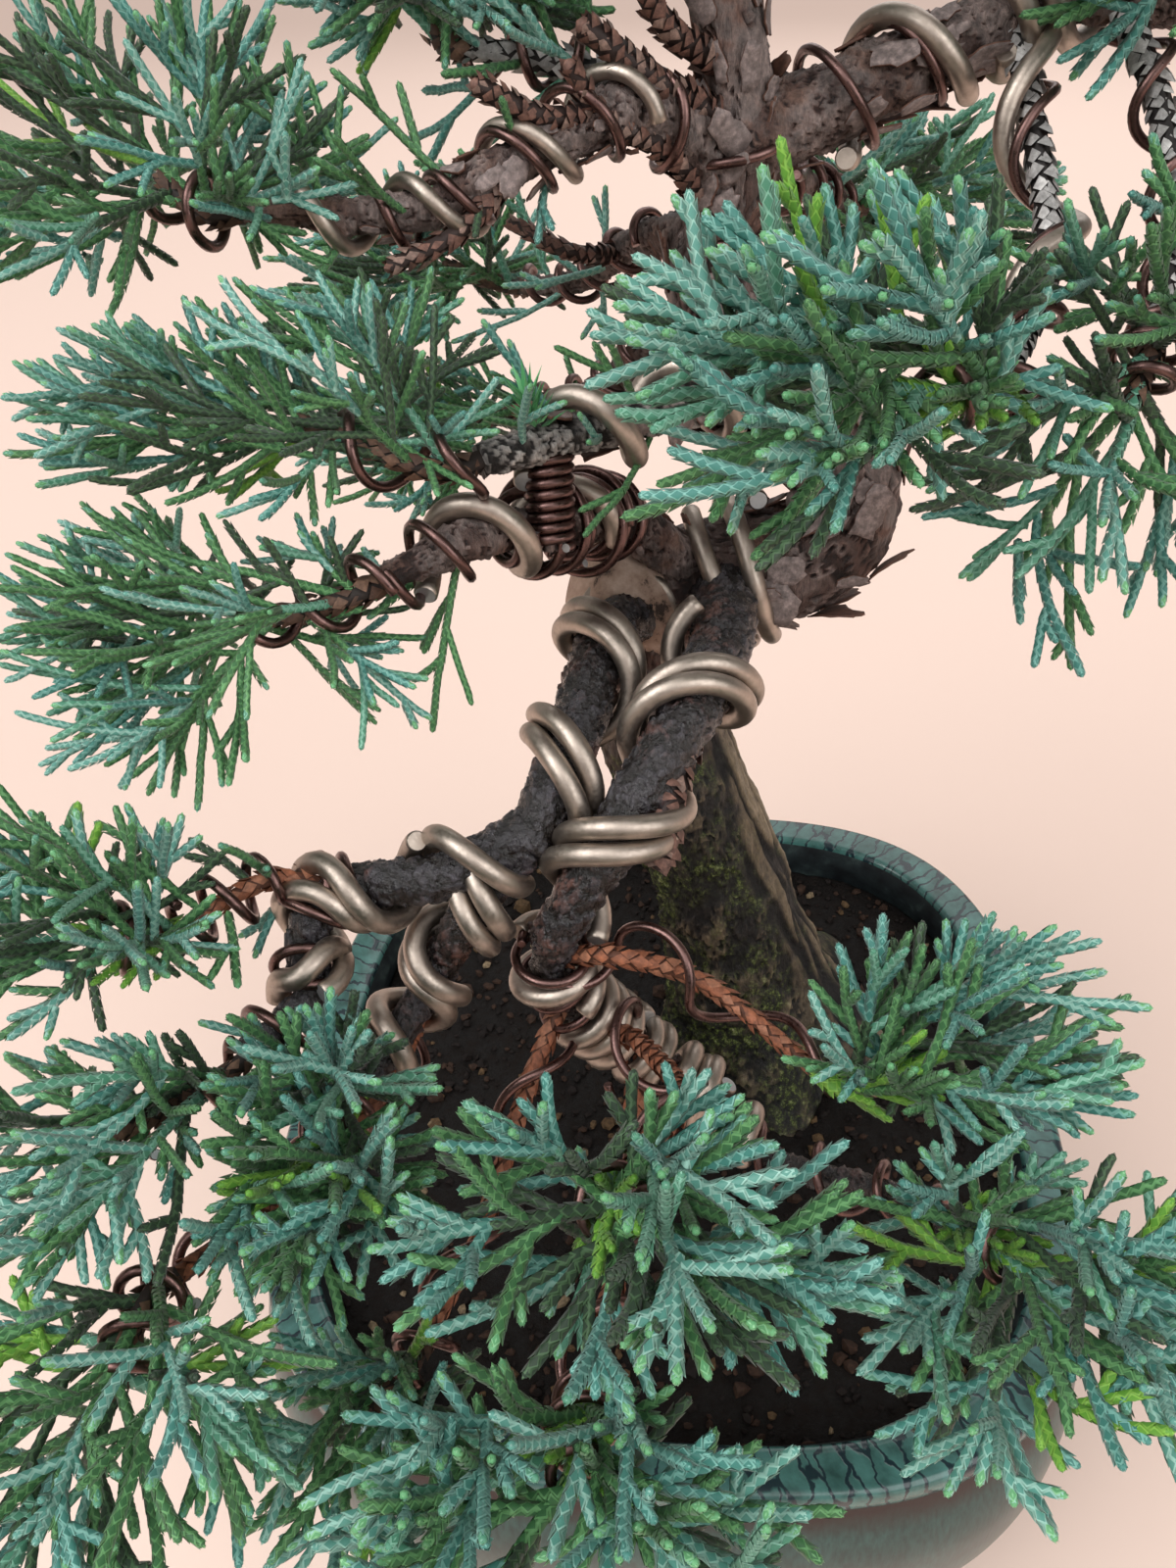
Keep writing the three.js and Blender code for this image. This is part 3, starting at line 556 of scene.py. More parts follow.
def iron_edge():
    """Glaze broken thin over the lip's lower edge: a glossy purple-brown line of iron, in
    2 mm patches."""
    return mottled_material("iron_brown_glaze_edge", (2, 3, 0.5),
                            [(0.35, linear("1C1416")), (0.7, linear("4A343A"))],
                            {"Roughness": 0.14, "IOR": 1.52})


def inner_glaze():
    """The same glaze inside the rim, but darker: blue-black with grey patches about 4 mm
    across."""
    return mottled_material("dark_inner_glaze", (4, 5, 0.65),
                            [(0.35, linear("14171A")), (0.55, linear("232B2D")),
                             (0.75, linear("445350"))],
                            {"Roughness": 0.4, "IOR": 1.52})


def bare_stoneware():
    """Unglazed stoneware, wiped before firing: matt brown clay with fine sand, 0.6 mm."""
    return mottled_material("unglazed_stoneware", (0.6, 4, 0.5),
                            [(0.35, linear("4A3A30")), (0.65, linear("7C6654"))],
                            {"Roughness": 0.85}, relief=(0.3, 0.2))


def damp_soil(colours):
    """Peaty potting soil, watered: near-black crumbs of 1 to 2 mm with damp glints."""
    material, tree = start_material("damp_potting_soil")
    place = add_node(tree, "ShaderNodeTexCoord").outputs["Object"]
    crumbs = add_node(tree, "ShaderNodeTexNoise",
                      {"Vector": place, "Scale": per_metre(1.6), "Detail": 6,
                       "Roughness": 0.7})
    colour = add_node(tree, "ShaderNodeValToRGB", {"Fac": crumbs.outputs["Fac"]},
                      stops=[(0.35, shade(colours.soil, 0.45)), (0.55, colours.soil),
                             (0.75, shade(colours.soil, 2.3))])
    damp = add_node(tree, "ShaderNodeValToRGB", {"Fac": crumbs.outputs["Fac"]},
                    stops=[(0.35, grey(0.5)), (0.65, grey(0.95))])
    bump = add_node(tree, "ShaderNodeBump",
                    {"Height": crumbs.outputs["Fac"], "Strength": 0.9, "Distance": 1 * MM})
    end_material(tree, {"Base Color": colour.outputs["Color"], "Specular IOR Level": 0.25,
                        "Roughness": damp.outputs["Color"], "Normal": bump.outputs[0]})
    return material


def grain(name, code, roughness):
    """One kind of grain on the soil, such as fired clay, pumice or bark crumb: matt, with
    a 0.5 mm mottle."""
    return mottled_material(name, (0.5, 3, 0.5),
                            [(0.3, shade(linear(code), 0.5)), (0.7, shade(linear(code), 1.3))],
                            {"Roughness": roughness, "Specular IOR Level": 0.25})


def plated_bark(name, outer, under, gloss, foot=False, rust=None, film=0.0):
    """Old juniper bark, grown in plates that lift and peel: the height of the relief says
    how deep a point lies, so cracks show the under bark. Fibres are about 0.5 mm wide and
    run along the limb; damp bark shines under its film of water, and rust is the colour of
    patches about 6 mm wide where it has newly flaked. On the trunk's foot the plates are
    tan-grey ridges between black furrows, with patches of moss."""
    material, tree = start_material(name)
    place = add_node(tree, "ShaderNodeTexCoord").outputs["Object"]
    relief = add_node(tree, "ShaderNodeAttribute", attribute_name="relief")
    mottle = add_node(tree, "ShaderNodeTexNoise",
                      {"Vector": place, "Scale": per_metre(3), "Detail": 5,
                       "Roughness": 0.65})
    stretched = add_node(tree, "ShaderNodeMapping",
                         {"Vector": place, "Scale": (1.0, 1.0, 0.3)})
    fibres = add_node(tree, "ShaderNodeTexNoise",
                      {"Vector": stretched.outputs[0], "Scale": per_metre(0.5),
                       "Detail": 4, "Roughness": 0.7})
    plate = add_node(tree, "ShaderNodeValToRGB", {"Fac": mottle.outputs["Fac"]},
                     stops=[(0.32, shade(outer, 0.4)), (0.48, outer),
                            (0.66, shade(outer, 2.3))])
    if rust:
        spots = add_node(tree, "ShaderNodeTexNoise",
                         {"Vector": place, "Scale": per_metre(6), "Detail": 4,
                          "Roughness": 0.6})
        fresh = add_node(tree, "ShaderNodeValToRGB", {"Fac": spots.outputs["Fac"]},
                         stops=[(0.52, grey(0)), (0.62, grey(0.85))])
        plate = add_node(tree, "ShaderNodeMix",
                         {FACTOR: fresh.outputs["Color"], A: plate.outputs["Color"], B: rust},
                         data_type="RGBA")
    depth = add_node(tree, "ShaderNodeValToRGB", {"Fac": relief.outputs["Fac"]},
                     stops=[(0.16, grey(0)), (0.58, grey(1))])
    last = add_node(tree, "ShaderNodeMix",
                    {FACTOR: depth.outputs["Color"], A: under,
                     B: plate.outputs[RESULT if rust else "Color"]},
                    data_type="RGBA")
    if foot:
        low = add_node(tree, "ShaderNodeAttribute", attribute_name="foot")
        moss = add_node(tree, "ShaderNodeAttribute", attribute_name="moss")
        ridge = add_node(tree, "ShaderNodeValToRGB", {"Fac": relief.outputs["Fac"]},
                         stops=[(0.2, linear("080605")), (0.4, linear("1E1914")),
                                (0.64, linear("665A48")), (0.95, linear("968871"))])
        last = add_node(tree, "ShaderNodeMix",
                        {FACTOR: low.outputs["Fac"], A: last.outputs[RESULT],
                         B: ridge.outputs["Color"]},
                        data_type="RGBA")
        tufts = add_node(tree, "ShaderNodeTexNoise",
                         {"Vector": place, "Scale": per_metre(1.1), "Detail": 5,
                          "Roughness": 0.8})
        green = add_node(tree, "ShaderNodeValToRGB", {"Fac": tufts.outputs["Fac"]},
                         stops=[(0.42, linear("080906")), (0.51, linear("22270F")),
                                (0.59, linear("5A6A2C")), (0.7, linear("A8A888"))])
        last = add_node(tree, "ShaderNodeMix",
                        {FACTOR: moss.outputs["Fac"], A: last.outputs[RESULT],
                         B: green.outputs["Color"]}, data_type="RGBA")
    # Painted shade: the colour darkens to about a fifth in the deepest cracks of the relief.
    painted_crack_shade = add_node(tree, "ShaderNodeValToRGB", {"Fac": relief.outputs["Fac"]},
                      stops=[(0.06, (0.22, 0.2, 0.2, 1)), (0.32, grey(1))])
    last = add_node(tree, "ShaderNodeMix",
                    {FACTOR: 1.0, A: last.outputs[RESULT], B: painted_crack_shade.outputs["Color"]},
                    data_type="RGBA", blend_type="MULTIPLY")
    streak = add_node(tree, "ShaderNodeValToRGB", {"Fac": fibres.outputs["Fac"]},
                      stops=[(0.3, grey(0.45)), (0.65, (1.25, 1.22, 1.18, 1))])
    last = add_node(tree, "ShaderNodeMix",
                    {FACTOR: 1.0, A: last.outputs[RESULT], B: streak.outputs["Color"]},
                    data_type="RGBA", blend_type="MULTIPLY")
    dull = min(0.85, gloss + 0.42)
    shine = add_node(tree, "ShaderNodeValToRGB", {"Fac": mottle.outputs["Fac"]},
                     stops=[(0.42, grey(gloss)), (0.64, grey(dull))])
    bump = add_node(tree, "ShaderNodeBump",
                    {"Height": fibres.outputs["Fac"], "Strength": 0.9, "Distance": 0.5 * MM})
    end_material(tree, {"Base Color": last.outputs[RESULT], "Roughness": shine.outputs["Color"],
                        "Normal": bump.outputs[0], "Coat Weight": film, "Coat IOR": 1.33,
                        "Coat Roughness": 0.15, "Coat Normal": bump.outputs[0]})
    return material


def sawn_wood():
    """Healed saw cut: bare grey-beige wood, dry and matt, weathered in patches about 3.5 mm
    wide with dark checks between them."""
    return mottled_material("weathered_sawn_wood", (3.5, 5, 0.7),
                            [(0.36, linear("3A2C26")), (0.42, linear("8F7666")),
                             (0.7, linear("BFA797"))],
                            {"Roughness": 0.75}, relief=(0.3, 0.4))


def scale_bark(name, colour, spread):
    """Dry scale leaves grown into bark on young wood: matt and papery, with a 0.7 mm
    mottle between two tones that lie a spread apart."""
    return mottled_material(name, (0.7, 4, 0.65),
                            [(0.3, shade(colour, 1 / spread)), (0.5, colour),
                             (0.72, shade(colour, spread))],
                            {"Roughness": 0.7}, relief=(0.4, 0.2))


def drawn_wire(name, colour, roughness):
    """Drawn aluminium wire, anodised brown: a satin metal with darker patches about 2.5 mm
    wide. The fine grain of its anodised skin is drawn 0.3 mm wide, coarser than life, so
    that it shows."""
    material, tree = start_material(name)
    place = add_node(tree, "ShaderNodeTexCoord").outputs["Object"]
    patches = add_node(tree, "ShaderNodeTexNoise",
                       {"Vector": place, "Scale": per_metre(2.5), "Detail": 5,
                        "Roughness": 0.6})
    fine = add_node(tree, "ShaderNodeTexNoise",
                    {"Vector": place, "Scale": per_metre(0.3), "Detail": 2})
    tint = add_node(tree, "ShaderNodeValToRGB", {"Fac": patches.outputs["Fac"]},
                    stops=[(0.3, shade(colour, 0.7)), (0.55, colour), (0.8, shade(colour, 1.2))])
    dull = add_node(tree, "ShaderNodeMapRange",
                    {"Value": fine.outputs["Fac"], "From Min": 0.3, "From Max": 0.7,
                     "To Min": roughness - 0.07, "To Max": roughness + 0.1})
    bump = add_node(tree, "ShaderNodeBump",
                    {"Height": fine.outputs["Fac"], "Strength": 0.12, "Distance": 0.1 * MM})
    end_material(tree, {"Base Color": tint.outputs["Color"], "Metallic": 1.0,
                        "Roughness": dull.outputs[0], "Normal": bump.outputs[0]})
    return material


def cut_metal():
    """Aluminium bared by the cutters: bright, silver and lightly scored."""
    material, tree = start_material("bare_cut_aluminium")
    place = add_node(tree, "ShaderNodeTexCoord").outputs["Object"]
    scores = add_node(tree, "ShaderNodeTexNoise",
                      {"Vector": place, "Scale": per_metre(0.3), "Detail": 3})
    bump = add_node(tree, "ShaderNodeBump",
                    {"Height": scores.outputs["Fac"], "Strength": 0.4, "Distance": 0.1 * MM})
    end_material(tree, {"Base Color": linear("B4B8BA"), "Metallic": 1.0, "Roughness": 0.5,
                        "Normal": bump.outputs[0]})
    return material


def leaf_scale(name, code):
    """Living juniper scale leaf: a waxy skin with a thin bloom. It is one plain colour, as
    the leaves are dealt their greens shoot by shoot."""
    material, tree = start_material(name)
    end_material(tree, {"Base Color": linear(code), "Roughness": 0.5, "IOR": 1.45,
                        "Sheen Weight": 0.15, "Sheen Roughness": 0.5})
    return material


# Meshes
def new_piece(name, points, faces, materials, slot, replaced=(), layers=None, smooth=True):
    """A mesh piece that rides on the tree's body. Points are in millimetres. Faces are
    pairs: rows of corner numbers, and the number of their material or one for each row.
    Layers are values or vectors stored at the points for the materials to read."""
    loops = np.concatenate([rows.ravel() for rows, _ in faces]).astype(np.int32)
    totals = np.concatenate([np.full(len(rows), rows.shape[1]) for rows, _ in faces])
    starts = np.concatenate([[0], np.cumsum(totals)[:-1]]).astype(np.int32)
    kinds = np.concatenate([np.broadcast_to(kind, len(rows)) for rows, kind in faces])
    mesh = bpy.data.meshes.new(name)
    mesh.vertices.add(len(points))
    mesh.vertices.foreach_set("co", (np.asarray(points) * MM).astype(np.float32).ravel())
    mesh.loops.add(len(loops))
    mesh.loops.foreach_set("vertex_index", loops)
    mesh.polygons.add(len(starts))
    mesh.polygons.foreach_set("loop_start", starts)
    mesh.polygons.foreach_set("material_index", kinds.astype(np.int32))
    mesh.polygons.foreach_set("use_smooth", np.full(len(starts), smooth))
    mesh.update(calc_edges=True)
    mesh.validate()
    for key, values in (layers or {}).items():
        values = np.asarray(values, np.float32)
        kind, field = ("FLOAT", "value") if values.ndim == 1 else ("FLOAT_VECTOR", "vector")
        layer = mesh.attributes.new(key, kind, "POINT")
        layer.data.foreach_set(field, values.ravel())
    for material in materials:
        mesh.materials.append(material)
    piece = bpy.data.objects.new(name, mesh)
    bpy.context.scene.collection.objects.link(piece)
    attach(piece, BODY)
    if replaced:
        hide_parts(*replaced)


def skin(rings, sides):
    """Four-cornered faces between rings of equal length, each ring closed on itself."""
    ring, side = np.meshgrid(np.arange(rings - 1), np.arange(sides), indexing="ij")
    a = ring * sides + side
    b = ring * sides + (side + 1) % sides
    return np.stack([a, b, b + sides, a + sides], axis=-1).reshape(-1, 4)


def fan(ring_first, sides, middle, flip=False):
    """Triangles that close a ring round a middle point."""
    a = ring_first + np.arange(sides)
    b = ring_first + (np.arange(sides) + 1) % sides
    rows = [b, a, np.full(sides, middle)] if flip else [a, b, np.full(sides, middle)]
    return np.stack(rows, axis=-1)


class Batch:
    """Gathers the points and faces of many small shapes that make one piece."""

    def __init__(self):
        self.points = []
        self.faces = []
        self.count = 0

    def add(self, points, faces):
        """Adds a shape. Its face rows count from its own first point."""
        self.points.append(np.asarray(points, float).reshape(-1, 3))
        self.faces += [(rows + self.count, kind) for rows, kind in faces]
        self.count += len(self.points[-1])

    def piece(self, name, materials, slot, **settings):
        """Makes the piece."""
        new_piece(name, np.concatenate(self.points), self.faces, materials, slot, **settings)


def unit(v):
    """Vectors of length one along the last axis."""
    return v / np.maximum(np.linalg.norm(v, axis=-1, keepdims=True), 1e-9)


def smooth_line(points, count=24):
    """Centripetal Catmull-Rom curve through points, the curve that the frame's limbs have."""
    p = np.asarray(points, float)
    if len(p) == 2:
        return p[0] + (p[1] - p[0]) * np.linspace(0, 1, count)[:, None]
    p = np.vstack([2 * p[0] - p[1], p, 2 * p[-1] - p[-2]])
    t = np.linspace(0, 1, count, endpoint=False)[:, None]
    parts = []
    for a, b, c, d in zip(p, p[1:], p[2:], p[3:]):
        before, step, after = [np.linalg.norm(v) ** 0.5 for v in (b - a, c - b, d - c)]
        start = ((b - a) / before - (c - a) / (before + step) + (c - b) / step) * step
        end = ((c - b) / step - (d - b) / (step + after) + (d - c) / after) * step
        parts.append(b + start * t + (3 * (c - b) - 2 * start - end) * t ** 2
                     + (2 * (b - c) + start + end) * t ** 3)
    return np.vstack(parts + [p[-2:-1]])


def resample(line, count):
    """The line again, as evenly spaced points."""
    along = np.concatenate([[0], np.cumsum(np.linalg.norm(np.diff(line, axis=0), axis=1))])
    places = np.linspace(0, along[-1], count)
    return np.stack([np.interp(places, along, line[:, k]) for k in range(3)], axis=1)


def frames_along(line):
    """Tangents, normals and side vectors along a line, turning as little as they can."""
    tangents = unit(np.gradient(line, axis=0))
    axis = np.zeros(3)
    axis[2 - int(np.argmin(np.abs(tangents[0])[::-1]))] = 1
    normal = np.cross(tangents[0], unit(np.cross(tangents[0], axis)))
    normals = [normal]
    for tangent in tangents[1:]:
        normal = unit(normal - tangent * (normal @ tangent))
        normals.append(normal)
    normals = np.array(normals)
    return tangents, normals, np.cross(tangents, normals)


def even_angles(count):
    """Angles in even steps once round."""
    return np.arange(count) / count * 2 * math.pi


def circles(normals, sides, count):
    """Unit vectors in even steps all round a line, a row of them for each of its points."""
    angles = even_angles(count)
    return (normals[:, None] * np.cos(angles)[None, :, None]
            + sides[:, None] * np.sin(angles)[None, :, None])


def outward(normal, side, angle):
    """The way out from a limb at an angle round it."""
    return normal * math.cos(angle) + side * math.sin(angle)


class Limb:
    """A tapering limb: its middle line in even steps, a frame at each step and its radius."""

    STEP = 0.5

    def __init__(self, points, radius_at):
        line = smooth_line(points)
        self.length = np.linalg.norm(np.diff(line, axis=0), axis=1).sum()
        self.line = resample(line, max(3, int(self.length / self.STEP) + 1))
        self.tangents, self.normals, self.sides = frames_along(self.line)
        self.radius_at = radius_at

    def at(self, shares):
        """Middle points, tangents, normals, side vectors and radii at shares of the length."""
        shares = np.atleast_1d(np.asarray(shares, float))
        known = np.linspace(0, 1, len(self.line))
        point, *turned = [np.stack([np.interp(shares, known, rows[:, k]) for k in range(3)], 1)
                          for rows in (self.line, self.tangents, self.normals, self.sides)]
        return [point, *[unit(v) for v in turned], self.radius_at(shares, self.length)]

    def spot(self, share):
        """The same five at one share."""
        return [rows[0] for rows in self.at(share)]


def taper(start, end):
    """Radius that falls evenly from one end of a limb to the other."""
    return lambda share, length: start + (end - start) * share


def trunk_radius(share, length):
    """Slow taper up the bole, with a wide flare at the soil."""
    return (TRUNK_TIP + (TRUNK_BOLE - TRUNK_TIP) * (1 - share ** 1.5)
            + FLARE * np.exp(-share * length / FLARE_HEIGHT))


def make_limbs():
    """Every limb by name, each starting on the middle line of the limb that carries it."""
    limbs = {"trunk": Limb(TRUNK_PATH, trunk_radius), "scar": Limb(SCAR_PATH, taper(*SCAR_RADII)),
             "coil_stub": Limb(COIL_PATH, taper(*COIL_RADII))}
    for name, carrier, share, start, end, bends in BOUGHS:
        root = limbs[carrier].spot(share)[0]
        limbs[name] = Limb([root, *bends], taper(start, end))
    return limbs


LIMBS = make_limbs()


# Pot and soil
def pot_ring(z, inset, sides):
    """A level ring of the pot, in from the rim's outline by an inset."""
    angle = ((np.arange(sides) + 0.5) / sides + 0.25) * 2 * math.pi
    c, s = np.cos(angle), np.sin(angle)
    x = np.sign(c) * np.abs(c) ** (2 / SQUARENESS) * (RIM_HALF_X - inset)
    y = np.sign(s) * np.abs(s) ** (2 / SQUARENESS) * (RIM_HALF_Y - inset)
    return np.stack([x, y, np.full(sides, float(z))], axis=1)


def wall_inset(z):
    """How far the outer wall lies inside the rim at a height."""
    down = max(0, BELLY_Z - z) / (BELLY_Z + 1)
    up = max(0, z - BELLY_Z) / (LIP_FOOT - BELLY_Z)
    bowl = BOWL_DEPTH * (1 - math.sqrt(1 - down * down))
    return bowl - BELLY_BULGE + (LIP_GROOVE + BELLY_BULGE) * up * up


def cavity_inset(z):
    """How far the inside wall lies inside the rim at a height."""
    return max(LIP_WIDTH + 0.4, wall_inset(z) + WALL)


def pot_profile():
    """The pot's section from the middle of its underside over the lip to its floor: height,
    inset and finish of each ring."""
    arc = [math.radians(a) for a in (22, 45, 68, 90)]
    sole = [(0.0, wall_inset(0) + 6, "bare"), (0.0, wall_inset(0) + 0.5, "bare")]
    wall = [(z, wall_inset(z), "body") for z in np.linspace(0, LIP_FOOT - 0.5, WALL_ROWS)]
    edge = [(LIP_FOOT, wall_inset(LIP_FOOT), "iron"), (LIP_FOOT, 0.55, "iron"),
            (LIP_FOOT + 0.25, 0.15, "iron")]
    lip = [(LIP_FOOT + 0.7, 0.02, "lip"), (POT_HEIGHT - LIP_ROUND, 0.0, "lip")]
    lip += [(POT_HEIGHT - LIP_ROUND + LIP_ROUND * math.sin(a), LIP_ROUND * (1 - math.cos(a)),
             "lip") for a in arc]
    lip += [(POT_HEIGHT, LIP_WIDTH - 1.5 * INNER_ROUND, "lip")]
    lip += [(POT_HEIGHT - INNER_ROUND * (1 - math.cos(a)),
             LIP_WIDTH - INNER_ROUND + INNER_ROUND * math.sin(a), "lip") for a in arc]
    inside = [(z, cavity_inset(z), "inside")
              for z in np.linspace(POT_HEIGHT - 2.5, FLOOR_Z, INSIDE_ROWS)]
    return sole + wall + edge + lip + inside


def make_pot(colours):
    """The pot: underside, bowl wall, groove, rounded lip, inside wall and floor."""
    glazes = {"body": body_glaze(colours), "lip": crackled_glaze(colours),
              "iron": iron_edge(), "bare": bare_stoneware(), "inside": inner_glaze()}
    order = list(glazes)
    profile = pot_profile()
    rings = np.concatenate([pot_ring(z, inset, POT_SIDES) for z, inset, _ in profile])
    kinds = [order.index(finish) for _, _, finish in profile[1:]]
    rim = pot_ring(POT_HEIGHT, 0, POT_SIDES)
    steps = [math.dist(a[:2], b[:2]) for a, b in zip(profile, profile[1:])]
    run = np.zeros((len(profile), POT_SIDES, 3))
    run[..., 0] = np.cumsum(np.linalg.norm(rim - np.roll(rim, 1, axis=0), axis=1))[None]
    run[..., 1] = np.concatenate([[0], np.cumsum(steps)])[:, None]
    run = np.vstack([run.reshape(-1, 3), np.zeros((2, 3))]) * MM
    points = np.vstack([rings, [(0, 0, 0), (0, 0, FLOOR_Z)]])
    faces = [
        (skin(len(profile), POT_SIDES), np.repeat(kinds, POT_SIDES)),
        (fan(0, POT_SIDES, len(rings), flip=True), order.index("bare")),
        (fan(len(rings) - POT_SIDES, POT_SIDES, len(rings) + 1), order.index("inside")),
    ]
    new_piece("glazed_pot", points, faces, list(glazes.values()), "pot_glaze",
              replaced=["pot"], layers={"run": run})


def soil_height(x, y):
    """Height of the soil over a place: crumbly, lower at the wall, heaped to the trunk."""
    edge = max(abs(x) / RIM_HALF_X, abs(y) / RIM_HALF_Y)
    drop = SOIL_EDGE_DROP * max(0.0, (edge - 0.7) / 0.3) ** 2
    lumps = noise.fractal(Vector((x, y, 0)) / 7, 1.0, 2.1, 4)
    crumbs = noise.fractal(Vector((x, y, 5)) / 1.6, 1.0, 2.2, 3)
    return SOIL_Z - drop + 0.5 * lumps + 0.28 * crumbs - 0.3


def make_soil(sizes, colours):
    """The soil's surface and filling, and the grains that lie on it."""
    edge = cavity_inset(SOIL_Z) + 0.3
    bottom = FLOOR_Z + 0.5
    surface = []
    for step in range(SOIL_RINGS):
        ring = pot_ring(0, edge, SOIL_SIDES) * (1 - step / SOIL_RINGS)
        ring[:, 2] = [soil_height(x, y) for x, y in ring[:, :2]]
        surface.append(ring)
    wall = [pot_ring(z, cavity_inset(z) + 0.5, SOIL_SIDES) for z in (bottom, 22, 40)]
    rings = np.concatenate(wall + surface)
    points = np.vstack([rings, [(0, 0, bottom), (0, 0, soil_height(0, 0))]])
    faces = [(skin(len(wall) + SOIL_RINGS, SOIL_SIDES), 0),
             (fan(0, SOIL_SIDES, len(rings), flip=True), 0),
             (fan(len(rings) - SOIL_SIDES, SOIL_SIDES, len(rings) + 1), 0)]
    new_piece("potting_soil", points, faces, [damp_soil(colours)], "soil", replaced=["soil"])
    make_grains(sizes, edge)


def make_grains(sizes, edge):
    """Grains of several kinds strewn over the soil, pressed a little into it. Each is a
    ball of twenty faces, knocked out of shape."""
    rng = np.random.default_rng(31)
    golden = (1 + 5 ** 0.5) / 2
    ball = unit(np.array([(-1, golden, 0), (1, golden, 0), (-1, -golden, 0), (1, -golden, 0),
                          (0, -1, golden), (0, 1, golden), (0, -1, -golden), (0, 1, -golden),
                          (golden, 0, -1), (golden, 0, 1), (-golden, 0, -1), (-golden, 0, 1)]))
    rows = np.array([(0, 11, 5), (0, 5, 1), (0, 1, 7), (0, 7, 10), (0, 10, 11), (1, 5, 9),
                     (5, 11, 4), (11, 10, 2), (10, 7, 6), (7, 1, 8), (3, 9, 4), (3, 4, 2),
                     (3, 2, 6), (3, 6, 8), (3, 8, 9), (4, 9, 5), (2, 4, 11), (6, 2, 10),
                     (8, 6, 7), (9, 8, 1)])
    kinds = [("peat_crumb", "140C09", 0.75), ("bark_crumb", "33231A", 0.8),
             ("fired_clay_grain", "57442F", 0.85), ("pumice_grain", "7A6A54", 0.9)]
    shares = np.cumsum([0.61, 0.3, 0.07, 0.02])
    coarseness = (1, 1.25, 1.6, 1.2)
    usual = to_mm(sizes.grit_size)
    batch = Batch()
    for _ in range(GRAIN_COUNT):
        spot = rng.uniform(-1, 1, 2)
        if (abs(spot) ** SQUARENESS).sum() > 1:
            continue
        spot = spot * (RIM_HALF_X - edge - 1, RIM_HALF_Y - edge - 1)
        kind = int(np.searchsorted(shares, rng.random()))
        size = usual * rng.lognormal(-0.25, 0.35) * coarseness[kind]
        shape = ball * rng.uniform(0.6, 1.15, (12, 1)) * size / 2
        shape = shape * np.array([1, rng.uniform(0.6, 1), rng.uniform(0.45, 0.9)])
        turn = Matrix.Rotation(rng.uniform(0, NEARLY_ROUND), 3, "Z") @ Matrix.Rotation(
            rng.uniform(-0.5, 0.5), 3, "X")
        place = np.array([spot[0], spot[1], soil_height(spot[0], spot[1]) + size * 0.12])
        batch.add(shape @ np.array(turn).T + place, [(rows, kind)])
    batch.piece("soil_grains", [grain(*kind) for kind in kinds], "soil", smooth=False)


# Bark
def clamp(value, top=1.0):
    """A value held between 0 and a top."""
    return max(0.0, min(top, value))


def cracked_relief(size, point):
    """Height of plated bark at a point, from 0 in the cracks to about 1 on raised plates."""
    spot = Vector((point[0], point[1], point[2] / PLATE_STRETCH)) / size
    wander = noise.noise_vector(spot * 1.3) * 0.35
    distances, middles = noise.voronoi(spot + wander)
    gap = min(1.0, (distances[1] - distances[0]) / 0.15)
    lift = noise.cell(middles[0] * 7.3)
    tilt = (spot - middles[0]).dot(noise.cell_vector(middles[0] * 3.1)) * 0.5
    rough = noise.fractal(spot * 3.1, 0.9, 2.0, 3) * 0.16
    return clamp(gap * (0.5 + 0.4 * lift + tilt) + rough, 1.3)


def peeling_relief(size, point):
    """Height of peeling bark: thin sheets one above another, whose torn edges curl up."""
    spot = Vector((point[0], point[1], point[2] / PLATE_STRETCH)) / size
    spot += noise.noise_vector(spot * 2.3) * 0.2
    level = 2.2 + 2.7 * noise.fractal(spot, 0.9, 2.1, 4)
    sheet = math.floor(level)
    curl = math.exp((sheet - level) / 0.13) * 0.26
    rough = noise.fractal(spot * 4.3, 0.9, 2.1, 2) * 0.09
    # Just outside each sheet's curled edge the relief dips: a shallow groove in the bark, which
    # the bark's colour ramps also turn into a painted shadow under the edge.
    groove_and_shadow = max(0.0, level - sheet - 0.86) * 4
    return clamp(0.2 * sheet + curl + rough + 0.1 - groove_and_shadow, 1.3)


def strip_relief(angle, height):
    """Height of the foot's bark: long flat strips, about 3 mm wide, that run down the trunk
    between narrow black furrows."""
    turn = Vector((math.cos(angle) * 9.5, math.sin(angle) * 9.5, height / 9))
    spot = turn / 3.0 + noise.noise_vector(turn / 4) * 0.4
    distances, middles = noise.voronoi(spot)
    gap = clamp((distances[1] - distances[0] - 0.06) / 0.12)
    rough = noise.fractal(Vector((turn.x, turn.y, turn.z * 3)) / 0.9, 0.8, 2.1, 3)
    tall = 0.6 + 0.3 * noise.cell(middles[0] * 5.7)
    return clamp(gap * tall + 0.15 * rough, 1.2)


def sheath(name, limb, mesh, shape, material, **settings):
    """Makes a closed tube of bark round a limb. Mesh is its corners round the limb and its
    step along it. shape(angle, share, point) says how far the bark stands out, in
    millimetres, and the values that its layers store there."""
    noise.seed_set(BARK_SEED)
    around, spacing = mesh
    shares = np.linspace(0, 1, max(3, int(limb.length / spacing) + 1))
    middles, _, normals, sides, radii = limb.at(shares)
    angles = even_angles(around)
    out = circles(normals, sides, around)
    surface = middles[:, None] + out * radii[:, None, None]
    stored = []
    for i, share in enumerate(shares):
        for j, angle in enumerate(angles):
            lift, *values = shape(angle, share, surface[i, j])
            stored.append(values)
            surface[i, j] += out[i, j] * lift
    points = np.vstack([surface.reshape(-1, 3), middles[:1], middles[-1:]])
    last = len(shares) * around
    faces = [(skin(len(shares), around), 0), (fan(0, around, last, flip=True), 0),
             (fan(last - around, around, last + 1), 0)]
    stored = np.array(stored + [stored[0], stored[-1]])
    new_piece(name, points, faces, [material], "bark",
              layers=dict(zip(("relief", "foot", "moss"), stored.T)), **settings)


